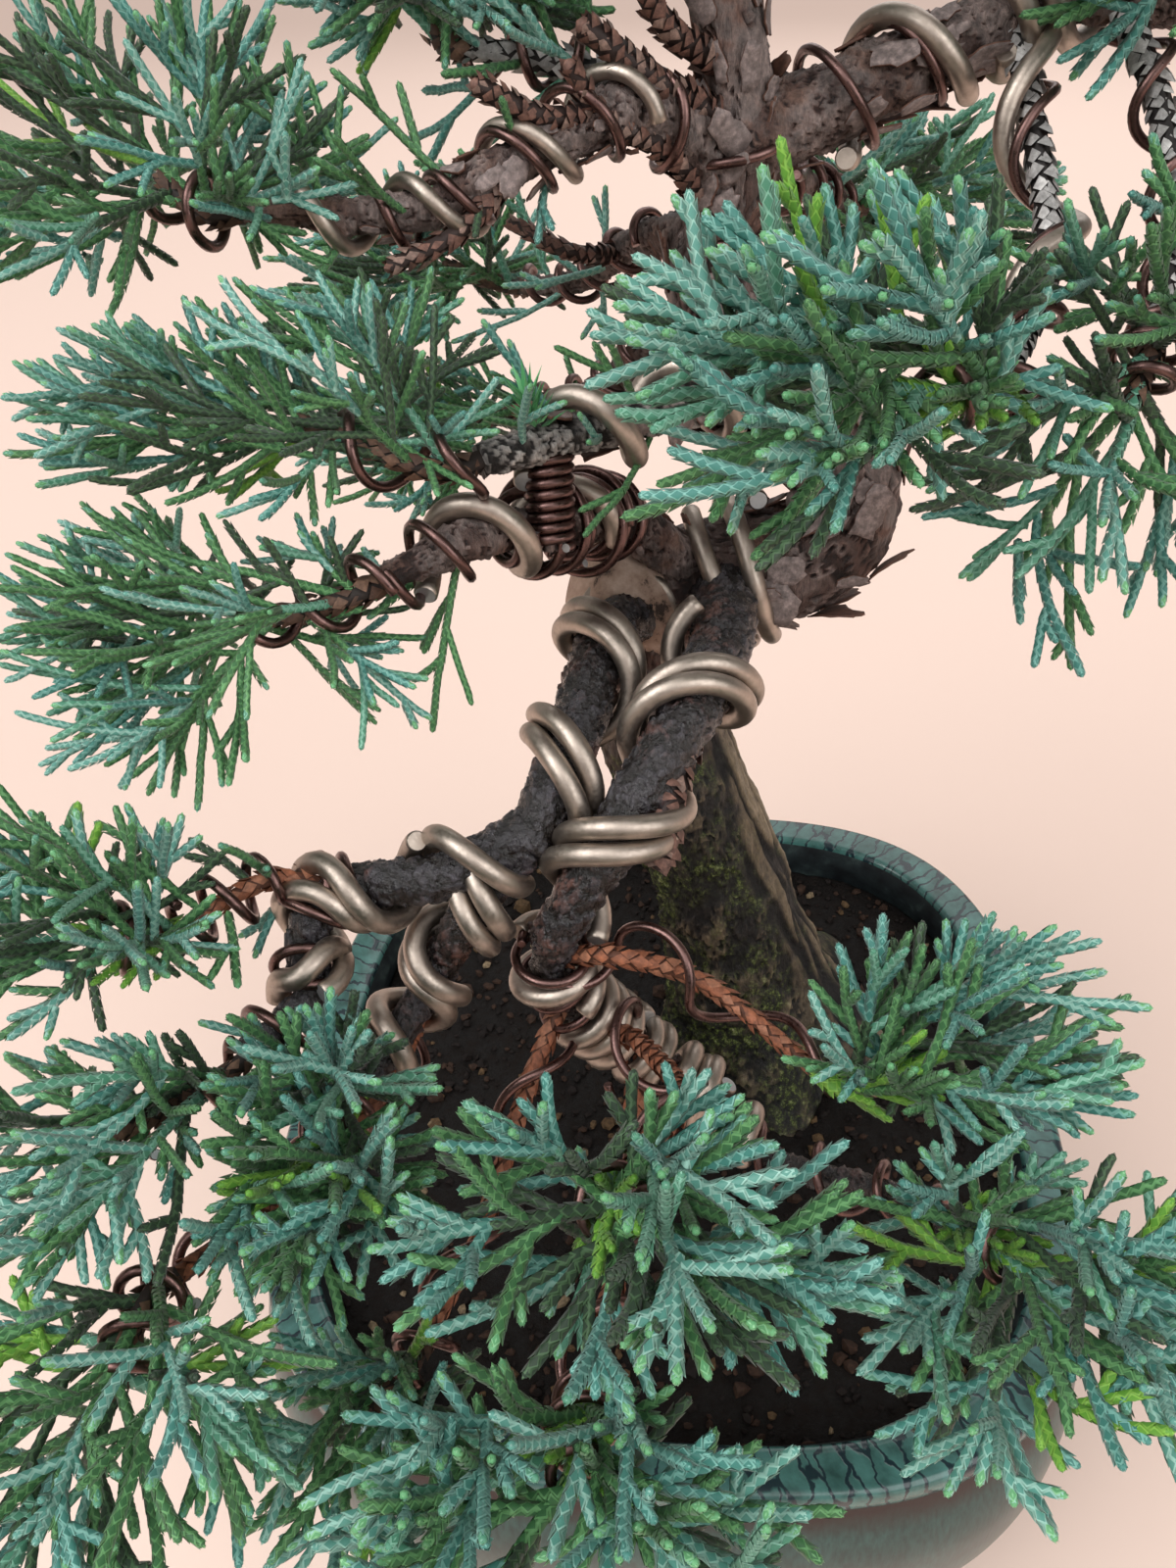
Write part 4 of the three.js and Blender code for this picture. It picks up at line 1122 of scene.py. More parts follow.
def trunk_shape(depth):
    """The trunk's bark: peeling sheets up the bole. On the foot it is tan strips down the
    dry right side, and dark, knobbly and mossy on the rest."""
    limb = LIMBS["trunk"]
    steps = np.linspace(0, 1, len(limb.line))

    def shape(angle, share, point):
        height = share * limb.length
        radius = trunk_radius(share, limb.length)
        spot = Vector(point)
        low = math.exp(-height / FLARE_HEIGHT)
        lobes = ROOT_LOBE_DEPTH * low * math.sin(ROOT_LOBES * angle + ROOT_LOBE_TURN) * radius
        foot = clamp(1 - (height - FOOT_BARK_TOP) / FOOT_BARK_FADE)
        across = (point[0] - np.interp(share, steps, limb.line[:, 0])) / radius
        patch = noise.fractal(spot / 6 + Vector((5, 2, 1)), 0.9, 2.0, 4)
        dry = clamp((across - 0.58 + 0.25 * patch) * 5)
        strips = strip_relief(angle, height) if foot > 0 and dry > 0 else 0
        knobs = peeling_relief(3.4, point) * 0.8 if foot > 0 and dry < 1 else 0
        sheets = peeling_relief(7.5, point) if foot < 1 else 0
        relief = sheets * (1 - foot) + foot * (strips * dry + knobs * (1 - dry))
        swell = noise.noise(spot / 9 + Vector((3, 1, 7))) * 0.7
        moss = foot * clamp((1 - dry) * (0.62 + 0.9 * patch) + 0.3 * patch)
        lift = depth * (relief - 0.45) * (1.2 + 0.2 * foot) + swell
        return lobes + lift, relief, foot, moss
    return shape


def bough_shape(depth, cell):
    """A bough's bark: small cracked plates over a lumpy limb, or peeling sheets where the
    cells are wide."""
    depth *= min(1, 0.35 + cell / 3)
    plates = peeling_relief if cell > PEELING_WIDTH else cracked_relief

    def shape(angle, share, point):
        relief = plates(cell, point)
        lumps = noise.noise(Vector(point) / 4.5) * min(0.5, 0.18 * cell)
        return depth * (relief - 0.55) + lumps, relief
    return shape


def make_trunk(sizes, colours):
    """The trunk's bark and the weathered cut of the lost branch on its first bend."""
    bark = plated_bark("flaking_trunk_bark", colours.bark, colours.under_bark, 0.5, True,
                       rust=linear("5E4034"))
    sheath("trunk_bark", LIMBS["trunk"], TRUNK_MESH, trunk_shape(to_mm(sizes.bark_relief)),
           bark, replaced=["trunk"])

    def dished(angle, share, point):
        lumps = noise.noise(Vector(point) / 3) * 0.5
        return lumps - 1.2 * max(0, share - 0.88) / 0.12, 0.8
    sheath("healed_cut", LIMBS["scar"], SCAR_MESH, dished, sawn_wood())


def make_boughs(sizes, colours):
    """Plated bark on the boughs, overlapping scales on the young and the hanging twigs,
    and the stub and the old twigs that the frame leaves out."""
    depth = to_mm(sizes.bark_relief) * 0.75
    damp = plated_bark("damp_bough_bark", linear("2B292E"), linear("170E0C"), 0.12,
                       rust=linear("55342A"), film=0.8)
    dry = plated_bark("dry_bough_bark", colours.bark, colours.under_bark, 0.55,
                      rust=linear("5E4438"))
    # The third material of each scaly set is the core's: a dark painted shade in the gaps between
    # the scales.
    young = [scale_bark("young_red_bark", colours.rust_bark, 1.8),
             scale_bark("paler_young_bark", linear("8E5E46"), 1.7),
             scale_bark("young_scale_gap_shade", shade(colours.rust_bark, 0.4), 1.5)]
    aged = [scale_bark("weathered_grey_bark", colours.grey_bark, 1.6),
            scale_bark("paler_grey_bark", shade(colours.grey_bark, 1.7), 1.5),
            scale_bark("grey_scale_gap_shade", linear("1A1514"), 1.4)]
    pale = plated_bark("pale_bough_bark", colours.grey_bark, linear("1E1817"), 0.6,
                       rust=linear("6A5A54"))
    sheath("coil_stub_bark", LIMBS["coil_stub"], COIL_MESH, bough_shape(depth, 1.2), dry)
    for name, *_ in BOUGHS:
        limb = LIMBS[name]
        if name in RUST_LIMBS + GREY_LIMBS:
            scales = ScaleBatch(1.5, seed=len(name), core=0.9)
            slim, coats = (0.76, young) if name in RUST_LIMBS else (0.9, aged)
            radii = limb.radius_at(np.linspace(0, 1, len(limb.line)), 0) * slim
            scales.add_shoot(limb.line, radii, 0, ragged=0.3, around=3)
            scales.piece(name + "_scales", coats, "twig_bark", replaced=[name])
            continue
        bark, (cell, fine) = dry, DRY_PLATES
        if name in DAMP_LIMBS:
            bark, (cell, fine) = damp, DAMP_PLATES
        if name == PALE_LIMB:
            bark, (cell, fine) = pale, PALE_PLATES
        around = max(36, int(2 * math.pi * limb.radius_at(0, 0) / fine))
        sheath(name + "_bark", limb, (around, fine), bough_shape(depth, cell), bark,
               replaced=[name])
    old = ScaleBatch(1.2, seed=41, core=0.9)
    for carrier, share, bends, start, end in OLD_TWIGS:
        twig = Limb([LIMBS[carrier].spot(share)[0], *bends], taper(start, end))
        old.add_shoot(twig.line, np.linspace(start, end, len(twig.line)), 0, ragged=0.4, around=3)
    # Its third material, the core's, is dark painted shade in the gaps between the scales.
    old.piece("old_twigs", [scale_bark("old_twig_bark", linear("66493F"), 1.9),
                            scale_bark("paler_old_twig_bark", linear("80695F"), 1.8),
                            scale_bark("old_twig_gap_shade", linear("2A1C18"), 1.4)], "twig_bark")


def flake_faces():
    """Faces of a loose plate: its outer grid, the inner one behind it, and the edge."""
    across, along = FLAKE_ACROSS, FLAKE_ALONG
    size = across * along
    outer = np.array([(i * across + j, i * across + j + 1, (i + 1) * across + j + 1,
                       (i + 1) * across + j)
                      for i in range(along - 1) for j in range(across - 1)])
    rim = ([j for j in range(across)]
           + [i * across + across - 1 for i in range(1, along)]
           + [(along - 1) * across + j for j in range(across - 2, -1, -1)]
           + [i * across for i in range(along - 2, 0, -1)])
    edge = np.array([(b, a, a + size, b + size) for a, b in zip(rim, rim[1:] + rim[:1])])
    return [(outer, 0), (outer[:, ::-1] + size, 1), (edge, 1)]


def flake_points(rng, spot):
    """Points of a loose plate at a spot of a limb: a torn sheet that curls up at its free
    end and bends round the limb at the other, and the same sheet a little further in."""
    middle, tangent, normal, side, radius = spot
    angle = rng.uniform(0, 2 * math.pi)
    out = outward(normal, side, angle)
    wide = np.cross(tangent, out)
    turn = rng.normal(0, 0.35)
    run = tangent * math.cos(turn) + wide * math.sin(turn)
    wide = np.cross(run, out)
    length = rng.uniform(2.5, 7.0) * min(1, 0.3 + radius / 9)
    width = length * rng.uniform(0.35, 0.75)
    lift = rng.uniform(0.02, 0.4) ** 1.5 * length
    u, v = np.meshgrid(np.linspace(-1, 1, FLAKE_ACROSS), np.linspace(0, 1, FLAKE_ALONG))
    u = u + rng.normal(0, 0.14, u.shape)
    v = np.clip(v + rng.normal(0, 0.05, v.shape), 0, 1.1)
    narrowing = 1 - 0.45 * np.abs(v - 0.45) ** 1.5 * 2
    x = u * width / 2 * narrowing
    rise = lift * v ** 2.2 - x ** 2 / (2 * radius) * (1 - v) + 0.35
    base = middle + out * (radius + 0.25)
    top = (base + x[..., None] * wide + (v * length)[..., None] * run
           + rise[..., None] * out).reshape(-1, 3)
    return np.vstack([top, top - out * rng.uniform(0.14, 0.3)])


def make_flakes(colours):
    """Loose plates of bark that curl off the upper trunk and the boughs."""
    rng = np.random.default_rng(12)
    faces = flake_faces()
    batch = Batch()
    for name, start, end, count in FLAKE_HOSTS:
        for _ in range(count):
            spot = LIMBS[name].spot(rng.uniform(start, end))
            batch.add(flake_points(rng, spot), faces)
    batch.piece("bark_flakes",
                [scale_bark("peeling_grey_bark", shade(colours.bark, 1.1), 2.0),
                 scale_bark("peeling_under_bark", linear("5A3D31"), 1.7)], "bark")


# Wires
def winding(limb, start, end, turns, radius, phase, slack=0.0, seed=0):
    """Middle line of a wire wound round a limb, seated on its bark. Slack lets it stand off
    the bark here and there, by up to twice as much."""
    count = max(8, int(abs(turns) * TURN_POINTS))
    middles, _, normals, sides, radii = limb.at(np.linspace(start, end, count))
    angles = phase + np.arange(count) / (count - 1) * turns * 2 * math.pi
    reach = radii * 1.04 + radius + WIRE_SEAT
    if slack:
        rng = random.Random(seed)
        angles = angles + 0.5 * np.sin(np.arange(count) / 23 + seed)
        swell = [0.5 + 0.5 * math.sin(a * 0.37 + rng.random() * 0.05 + seed) for a in angles]
        reach = reach + slack * np.array(swell) * 2
    out = normals * np.cos(angles)[:, None] + sides * np.sin(angles)[:, None]
    return middles + out * reach[:, None]


def wire_solid(line, radius, around):
    """A round wire along a line, with its two ends cut square. The far end shows metal."""
    length = np.linalg.norm(np.diff(line, axis=0), axis=1).sum()
    line = resample(line, max(4, int(length / WIRE_STEP)))
    tangents, normals, sides = frames_along(line)
    ring = circles(normals, sides, around)
    ring = np.concatenate([ring[:1], ring, ring[-1:]])
    end = radius * (1 - END_BEVEL)
    bevel = radius * END_BEVEL
    middles = np.vstack([line[:1] - tangents[:1] * bevel, line, line[-1:] + tangents[-1:] * bevel])
    rings = middles[:, None] + ring * np.array([end, *[radius] * len(line), end])[:, None, None]
    last = len(middles) * around
    points = np.vstack([rings.reshape(-1, 3), rings[0], rings[-1], middles[:1], middles[-1:]])
    return points, [(skin(len(middles), around), 0),
                    (fan(last, around, last + 2 * around, flip=True), 0),
                    (fan(last + around, around, last + 2 * around + 1), 1)]


def training_wire(name, start, end, turns, radius, phase, beside, around):
    """A training wire on the limb of this name, as its row in the tables says."""
    limb = LIMBS[name]
    width = WIRE_PITCH * radius / (limb.length * (end - start))
    phase -= beside * turns * 2 * math.pi * width
    radius *= WIRE_DRAWN
    return wire_solid(winding(limb, start, end, turns, radius, phase), radius, around)


def make_wires(sizes, colours):
    """The training wires of the frame, the second windings beside them, and the thin wires
    that hold the twigs."""
    satin = drawn_wire("brown_anodised_wire", colours.wire, 0.42)
    bare = cut_metal()
    for node, *row in WIRES:
        points, faces = training_wire(*row, WIRE_SIDES)
        new_piece(node + "_drawn", points, faces, [satin, bare], "wire", replaced=[node])
    second = Batch()
    for row in EXTRA_WIRES:
        second.add(*training_wire(*row, SECOND_WIRE_SIDES))
    second.piece("second_wires", [satin, bare], "wire")

    radius = to_mm(sizes.thin_wire) / 2
    lines = [winding(LIMBS[limb], start, end, turns, radius, phase, slack, seed=i)
             for i, (limb, start, end, turns, phase, slack) in enumerate(THIN_WIRES)]
    lines += [winding(mass_stem(MASS_NAMES.index(name)), 0.02, 0.85, 1.6 + 0.5 * (i % 3),
                      radius, 1.3 * i, 0.6, seed=i)
              for i, name in enumerate(WIRED_MASSES)]
    thin = Batch()
    for line in lines:
        thin.add(*wire_solid(line, radius, THIN_WIRE_SIDES))
    thin.piece("thin_wires", [drawn_wire("copper_brown_wire", colours.thin_wire, 0.32), bare],
               "wire")


# Scaly shoots
# One scale leaf from outside: angle round the shoot in degrees, place along the leaf,
# height over the shoot's middle as a share of its radius, and how much that height falls
# where the leaf closes over the shoot's end. A pointed kite, with its broad dark middle
# lying just on it, so that its pale margins meet those of the leaves beside it.
LEAF_POINTS = [
    (0, 0.0, 0.88, 0.1), (64, 0.45, 0.87, 0.25), (0, 1.0, 1.12, 0.9), (-64, 0.45, 0.87, 0.25),
    (0, 0.5, 1.03, 0.35), (0, 0.06, 0.96, 0.15), (45, 0.46, 0.9, 0.3), (0, 0.84, 1.1, 0.7),
    (-45, 0.46, 0.9, 0.3),
]
# A scale of young bark in the same measures: no marked middle, and its tip stands out
BARK_SCALE_POINTS = [(0, 0.0, 0.84, 0), (62, 0.45, 0.9, 0), (0, 0.95, 1.16, 0),
                     (-62, 0.45, 0.9, 0), (0, 0.5, 1.12, 0)]
LEAF_EDGE_FACES = [(0, 1, 4), (4, 1, 2), (0, 4, 3), (4, 2, 3)]
LEAF_MIDDLE_FACES = [(5, 6, 7), (5, 7, 8)]


class ScaleBatch:
    """Gathers shoots clad in whorls of two or three scale leaves, each whorl set over the
    gaps of the one below, round a thin core with a blunt end."""

    CORE_SIDES = 4
    CAP_SIDES = 6
    # Share of the scales of bark that are paler
    PALER_SHARE = 0.3

    def __init__(self, spacing, seed, tinted=False, core=0.74):
        self.tinted = tinted
        self.core_share = core
        self.spacing = spacing
        self.random = np.random.default_rng(seed)
        self.leaves = []
        self.core = Batch()

    def add_shoot(self, line, radii, tint, ragged=0.08, tip_tint=None, around=2):
        """Clads a line with leaves, this many in each whorl. Radii is one number, or one for
        each point."""
        line = np.asarray(line, float)
        radii = np.broadcast_to(radii, len(line))
        steps = np.linalg.norm(np.diff(line, axis=0), axis=1)
        along = np.concatenate([[0], np.cumsum(steps)])
        length = along[-1]
        whorls = max(2, int(round(length / (self.spacing / 2))))
        places = (np.arange(whorls) + 0.1) * length / whorls
        centres = np.stack([np.interp(places, along, line[:, k]) for k in range(3)], axis=1)
        radius = np.interp(places, along, radii)
        tangents = unit(np.gradient(centres, axis=0))
        whole = unit(line[-1] - line[0])
        across = UP if abs(whole[2]) < 0.8 else np.array([1.0, 0.0, 0.0])
        normals = unit(np.cross(tangents, across))
        sides = np.cross(tangents, normals)
        twist = self.random.uniform(0, math.pi)
        close = np.zeros(whorls)
        close[-2:] = 0.35, 1.0
        radius = radius * (1 - 0.12 * close)
        tints = np.full(whorls, tint)
        if tip_tint is not None:
            tints[-2:] = tip_tint
        narrow = np.full(whorls, 2 / around)
        for leaf in range(around):
            turn = twist + (leaf * 2 + np.arange(whorls) % 2) * math.pi / around
            turn = turn + self.random.normal(0, ragged * 0.5, whorls)
            size = self.spacing * 1.2 * (1 + self.random.normal(0, ragged * 0.5, whorls))
            lift = 1 + self.random.normal(0, ragged * 0.6, whorls) * 0.5
            self.leaves.append((centres, tangents, normals, sides, turn, size, radius * lift,
                                close, tints, narrow))
        # On tinted shoots the core takes the pale edge colour; on scaly bark its dark material is
        # painted shade in the gaps between the scales.
        self.add_core(line, radii * self.core_share, 2 * tint + 1 if self.tinted else 2)
        self.add_cap(line, radii[-1] * 0.7, 2 * tints[-1])

    def add_core(self, line, radii, kind):
        """The thin core that shows in the gaps between leaves."""
        keep = np.unique(np.concatenate([np.arange(0, len(line), 2), [len(line) - 1]]))
        line, radii = line[keep], radii[keep]
        _, normals, sides = frames_along(line)
        ring = circles(normals, sides, self.CORE_SIDES)
        points = line[:, None] + ring * radii[:, None, None]
        self.core.add(points, [(skin(len(line), self.CORE_SIDES), kind)])

    def add_cap(self, line, radius, kind):
        """The blunt bud that closes a shoot's end."""
        ahead = unit(line[-1] - line[-2])
        across = unit(np.cross(ahead, (0.3, 0.5, 0.8)))
        beside = np.cross(ahead, across)
        angles = even_angles(self.CAP_SIDES)
        ring = (across * np.cos(angles)[:, None] + beside * np.sin(angles)[:, None]) * radius
        points = np.vstack([line[-1] + ring - ahead * radius * 0.6,
                            line[-1] + ring * 0.75 + ahead * radius * 0.35,
                            [line[-1] + ahead * radius * 0.75]])
        self.core.add(points, [(skin(2, self.CAP_SIDES), kind),
                               (fan(self.CAP_SIDES, self.CAP_SIDES, 2 * self.CAP_SIDES), kind)])

    def mesh(self):
        """Points and faces. A tint's leaves take the materials 2 tint and 2 tint + 1, for
        the middle and the edge. Scales of bark have no marked middle, and some are paler."""
        rows = [np.concatenate(column) for column in zip(*self.leaves)]
        centres, tangents, normals, sides, turn, size, radius, close, tints, narrow = rows
        shape = LEAF_POINTS if self.tinted else BARK_SCALE_POINTS
        angle, place, height, fall = np.array(shape).T
        angle = np.radians(angle)[None] * narrow[:, None] + turn[:, None]
        height = (height[None] - fall[None] * close[:, None]) * radius[:, None]
        along = place[None] * size[:, None] * (1 - 0.35 * close[:, None])
        points = (centres[:, None] + tangents[:, None] * along[..., None]
                  + normals[:, None] * (np.cos(angle) * height)[..., None]
                  + sides[:, None] * (np.sin(angle) * height)[..., None]).reshape(-1, 3)
        first = np.arange(len(centres))[:, None, None] * len(shape)
        edge = (np.array(LEAF_EDGE_FACES)[None] + first).reshape(-1, 3)
        middle = (np.array(LEAF_MIDDLE_FACES)[None] + first).reshape(-1, 3)
        if self.tinted:
            faces = [(edge, np.repeat(2 * tints + 1, len(LEAF_EDGE_FACES))),
                     (middle, np.repeat(2 * tints, len(LEAF_MIDDLE_FACES)))]
        else:
            pale = (self.random.random(len(centres)) < self.PALER_SHARE).astype(int)
            faces = [(edge, np.repeat(pale, len(LEAF_EDGE_FACES)))]
        core_first = len(points)
        faces += [(rows + core_first, kind) for rows, kind in self.core.faces]
        return np.vstack([points, *self.core.points]), faces

    def piece(self, name, materials, slot, **settings):
        """Makes the piece. Where it isn't tinted, materials are scale, paler scale, and the core,
        whose dark colour is painted shade in the gaps between scales.
        """
        points, faces = self.mesh()
        new_piece(name, points, faces, materials, slot, **settings)


def spread(points):
    """How far out in each mass's space points lie: 0 in the middle, 1 at the edge."""
    away = (points[:, None] - MASS_MIDDLES[None]) / MASS_HALVES[None]
    return np.linalg.norm(away, axis=2)


def limb_samples():
    """Points along every limb, and the limb's radius there, for the clearance test."""
    middles, radii = [], []
    for limb in LIMBS.values():
        samples = limb.at(np.linspace(0, 1, max(3, int(limb.length / PATH_STEP))))
        middles.append(samples[0])
        radii.append(samples[-1])
    return np.concatenate(middles), np.concatenate(radii)


LIMB_MIDDLES, LIMB_RADII = limb_samples()


def mass_stem(index):
    """The stem of a mass: on from the bough's tip, and then towards the space's middle."""
    _, carrier, middle, *_ = MASSES[index]
    tip, tangent = LIMBS[carrier].spot(1.0)[:2]
    knee = tip + tangent * STEM_STRAIGHT
    return Limb([tip, knee, np.array(middle) * 0.75 + knee * 0.25], taper(*STEM_RADII))


def turned(v, axis, angle):
    """A vector turned about an axis."""
    axis = unit(axis)
    return (v * math.cos(angle) + np.cross(axis, v) * math.sin(angle)
            + axis * (axis @ v) * (1 - math.cos(angle)))


def level_plane(direction):
    """Normal of the plane nearest to level that a direction lies in."""
    return unit(np.cross(direction, np.cross(UP, direction) + 1e-3))


class Mass:
    """Grows one foliage mass in its own space: a stem from the bough's tip, twigs towards
    all sides, leafy shoots along each twig, and side shoots in flat fans along those."""

    # Longest shoot of each order, and how far apart side shoots leave the first two
    REACH = (30.0, 17.0, 8.0)
    SPACING = (5.0, 6.6)
    # Side shoots leave out this much at a shoot's base and tip, and none is shorter
    BARE_BASE = 1.5
    BARE_TIP = 2.2
    SHORTEST = 2.6
    # How much a shoot wanders, and a main one turns up, with each step
    WANDER = 0.055
    RISE = 0.035
    # Short bright shoots on a green stem: how many, and on what stretch of it
    BRIGHT_SHOOTS = 12
    BRIGHT_STRETCH = (0.06, 0.6)
    TWIG_LENGTH = 46.0
    # From shoot to shoot on a twig and on the bough
    TWIG_STEPS = (1.25, 2.3)
    BOUGH_STEPS = (1.5, 3.0)
    # How far the shoots reach in units of the space: a twig's, and those on the bough
    RIMS = (1.0, 1.28)
    WIDE_RIM = 1.9

    def __init__(self, index, sizes):
        self.index = index
        self.name, carrier, middle, half, stout, self.woody, bare = MASSES[index]
        self.middle = np.array(middle, float)
        self.half = np.array(half, float)
        self.crowding = CROWDED.get(self.name, 1)
        self.rng = random.Random(7001 + 97 * index)
        self.close = 0.3 + 0.7 * stout
        self.radius = to_mm(sizes.shoot_width) / 2 * stout
        self.carrier = LIMBS[carrier]
        self.batch = ScaleBatch(to_mm(sizes.leaf_spacing) * stout, seed=500 + index, tinted=True)
        self.stem = mass_stem(index)
        self.rim = 1.0
        self.grow(int(sizes.twigs_per_mass * self.crowding))
        if bare < 1:
            self.rim = self.WIDE_RIM
            self.clothe(bare)

    def clear(self, path):
        """How many points of a path, from its start, stay in the space and off the limbs.
        The first two lie on what carries the shoot, so they always count."""
        out = spread(path)
        own = out[:, self.index]
        others = np.delete(out, self.index, axis=1).min(axis=1)
        gaps = np.linalg.norm(path[:, None] - LIMB_MIDDLES[None], axis=2) - LIMB_RADII[None]
        room = np.minimum(others - SPACE_MARGIN, self.rim)
        inside = (path > BOX_LOW - BOX_ALLOWANCE) & (path < BOX_HIGH + BOX_ALLOWANCE)
        free = (own < room) & (gaps.min(axis=1) > LIMB_CLEARANCE) & inside.all(axis=1)
        free[:2] = True
        return len(path) if free.all() else int(np.argmin(free))

    def path(self, start, direction, length, lift):
        """A shoot's middle line, which turns up by lift and wanders a little."""
        count = max(2, int(round(length / PATH_STEP)))
        points, heading = [start], direction
        for _ in range(count):
            jitter = np.array([self.rng.gauss(0, self.WANDER) for _ in range(3)])
            heading = unit(heading + UP * lift + jitter)
            points.append(points[-1] + heading * length / count)
        return np.array(points)

    def shoot(self, start, direction, flat, length, order, tint, tip):
        """Grows a leafy shoot and its side shoots, which lie in the plane square to flat."""
        path = self.path(start, direction, length, self.RISE if order == 0 else 0.0)
        keep = self.clear(path)
        if keep < 3:
            return
        path = path[:keep]
        self.batch.add_shoot(path, self.radius, tint, tip_tint=tip)
        if order == 2:
            return
        grown = np.linalg.norm(path[1] - path[0]) * (keep - 1)
        place = self.rng.uniform(0.12, 0.3) * grown + self.BARE_BASE
        hand = self.rng.choice((-1, 1))
        while place < grown - self.BARE_TIP:
            k = min(len(path) - 2, int(place / grown * (len(path) - 1)))
            along = unit(path[k + 1] - path[k])
            reach = min((grown - place) * self.rng.uniform(0.6, 1.05), self.REACH[order + 1])
            if reach > self.SHORTEST:
                plane = unit(turned(flat, along, self.rng.gauss(0, 0.45)))
                side = turned(along, plane, hand * self.rng.uniform(0.42, 0.75))
                self.shoot(path[k], side, plane, reach, order + 1, tint, tip)
            hand = -hand
            place += self.SPACING[order] * self.close * self.rng.uniform(0.7, 1.3)

    def tints(self, share):
        """A leaf colour and a tip colour for the sprays this far out along a twig: near the stem
        the darker green of inner shoots and a dark green that is painted shade, and more and more
        bloom further out."""
        draw = self.rng.random()
        if share < 0.4:
            tint = "inner" if draw < 0.6 else ("shade" if draw < 0.94 else "bright")
            return TINT_NUMBERS[tint], TINT_NUMBERS["tip"] if draw < 0.2 else None
        if share < 0.6 and draw < 0.5:
            deep = "inner" if self.close < 0.95 else "bloom_deep"
            return TINT_NUMBERS[deep], TINT_NUMBERS["green"]
        tint = "bloom" if draw < 0.62 else ("bloom_deep" if draw < 0.86 else "green")
        tip = TINT_NUMBERS["tip"] if self.rng.random() < 0.55 else None
        return TINT_NUMBERS[tint], tip

    def rim_point(self, height, bearing):
        """A point on the edge of the space, by its height share and bearing."""
        level = math.sqrt(1 - height * height)
        out = np.array([math.cos(bearing) * level, math.sin(bearing) * level, height])
        return self.middle + out * self.half

    def grow(self, count):
        """The twigs on the stem and the shoots that each carries. A green stem is clad in
        leaves itself."""
        stem = self.stem
        if not self.woody:
            bright = TINT_NUMBERS["bright"]
            self.batch.add_shoot(stem.line, np.linspace(*STEM_RADII, len(stem.line)) * 0.85,
                                 bright, ragged=0.2, around=3)
            for share in np.linspace(*self.BRIGHT_STRETCH, self.BRIGHT_SHOOTS):
                base, along, normal, side, radius = stem.spot(share)
                turn = share * 40
                out = outward(normal, side, turn)
                plane = unit(np.cross(out, along))
                self.shoot(base + out * radius * 0.6, unit(along + out * 0.8), plane,
                           self.rng.uniform(3.5, 7), 1, bright, None)
        for i in range(count):
            height = HIGHEST_TWIG - (HIGHEST_TWIG - LOWEST_TWIG) * i / (count - 1)
            share = STEM_BARE + (0.99 - STEM_BARE) * (i + self.rng.random()) / count
            base = stem.spot(share)[0]
            bearing = i * GOLDEN_ANGLE + self.rng.random() * 0.5
            self.twig(base, unit(self.rim_point(height, bearing) - base))

    def twig(self, base, direction):
        """A twig from the stem with leafy shoots all round its outer part."""
        self.rim = self.rng.uniform(*self.RIMS)
        path = self.path(base, direction, self.TWIG_LENGTH, 0.0)
        keep = self.clear(path)
        if keep < 6:
            return
        path = path[:keep]
        length = PATH_STEP * (keep - 1)
        wood = max(2, int((keep - 1) * 0.5))
        shown = TINT_NUMBERS[self.rng.choice(("inner", "shade", "inner", "green"))]
        self.batch.add_shoot(path[:wood + 1],
                             np.linspace(1.45 * self.radius, self.radius, wood + 1), shown)
        tint, tip = self.tints(0.8)
        self.shoot(path[wood], unit(path[-1] - path[wood]), level_plane(direction),
                   length - PATH_STEP * wood + 4, 0, tint, tip)
        place, turn = 0.22 * length, self.rng.uniform(0, NEARLY_ROUND)
        while place < 0.8 * length:
            k = int(place / PATH_STEP)
            along = unit(path[k + 1] - path[k])
            side = turned(unit(np.cross(along, UP + 1e-3)), along, turn)
            aim = turned(along, side, self.rng.uniform(0.55, 0.95))
            tint, tip = self.tints(place / length)
            plane = unit(np.cross(aim, side) * 0.4 + np.cross(aim, np.cross(UP, aim)))
            self.shoot(path[k], aim, plane, min(self.REACH[0], length * 0.8), 0, tint, tip)
            turn += GOLDEN_ANGLE
            place += self.rng.uniform(*self.TWIG_STEPS) * self.close

    def clothe(self, start):
        """Shoots on the carrying bough itself, from a share of its length to its tip."""
        place = start * self.carrier.length
        turn = self.rng.uniform(0, NEARLY_ROUND)
        while place < self.carrier.length - 0.5:
            share = place / self.carrier.length
            middle, along, normal, side, radius = self.carrier.spot(share)
            out = outward(normal, side, turn)
            aim = unit(out + along * self.rng.uniform(0.3, 0.9) + UP * 0.3)
            tint, tip = self.tints(self.rng.uniform(0.1, 0.9))
            self.shoot(middle + out * radius * 0.9, aim, level_plane(aim),
                       self.rng.uniform(8, 17), 0, tint, tip)
            turn += GOLDEN_ANGLE
            place += self.rng.uniform(*self.BOUGH_STEPS) / self.crowding


def make_shoots(sizes):
    """The leafy shoots of every mass, one piece for each, and the brown stems inside."""
    leaves = [leaf_scale(f"juniper_{part}_{tint}", code)
              for tint, codes in LEAF_TINTS.items()
              for part, code in zip(("leaf", "bloom"), codes)]
    wood = ScaleBatch(1.4, seed=77, core=0.9)
    for index in range(len(MASSES)):
        mass = Mass(index, sizes)
        mass.batch.piece("shoots_" + mass.name, leaves, "foliage",
                         replaced=["foliage_" + mass.name])
        if mass.woody:
            line = mass.stem.line
            wood.add_shoot(line, np.linspace(*STEM_RADII, len(line)), 0, ragged=0.4, around=3)
    # Its third material, the core's, is dark painted shade in the gaps between the scales.
    wood.piece("inner_stems", [scale_bark("brown_twig_bark", linear("4C362A"), 1.8),
                               scale_bark("paler_twig_bark", linear("6A5040"), 1.8),
                               scale_bark("brown_twig_gap_shade", linear("1C120C"), 1.4)],
               "twig_bark")


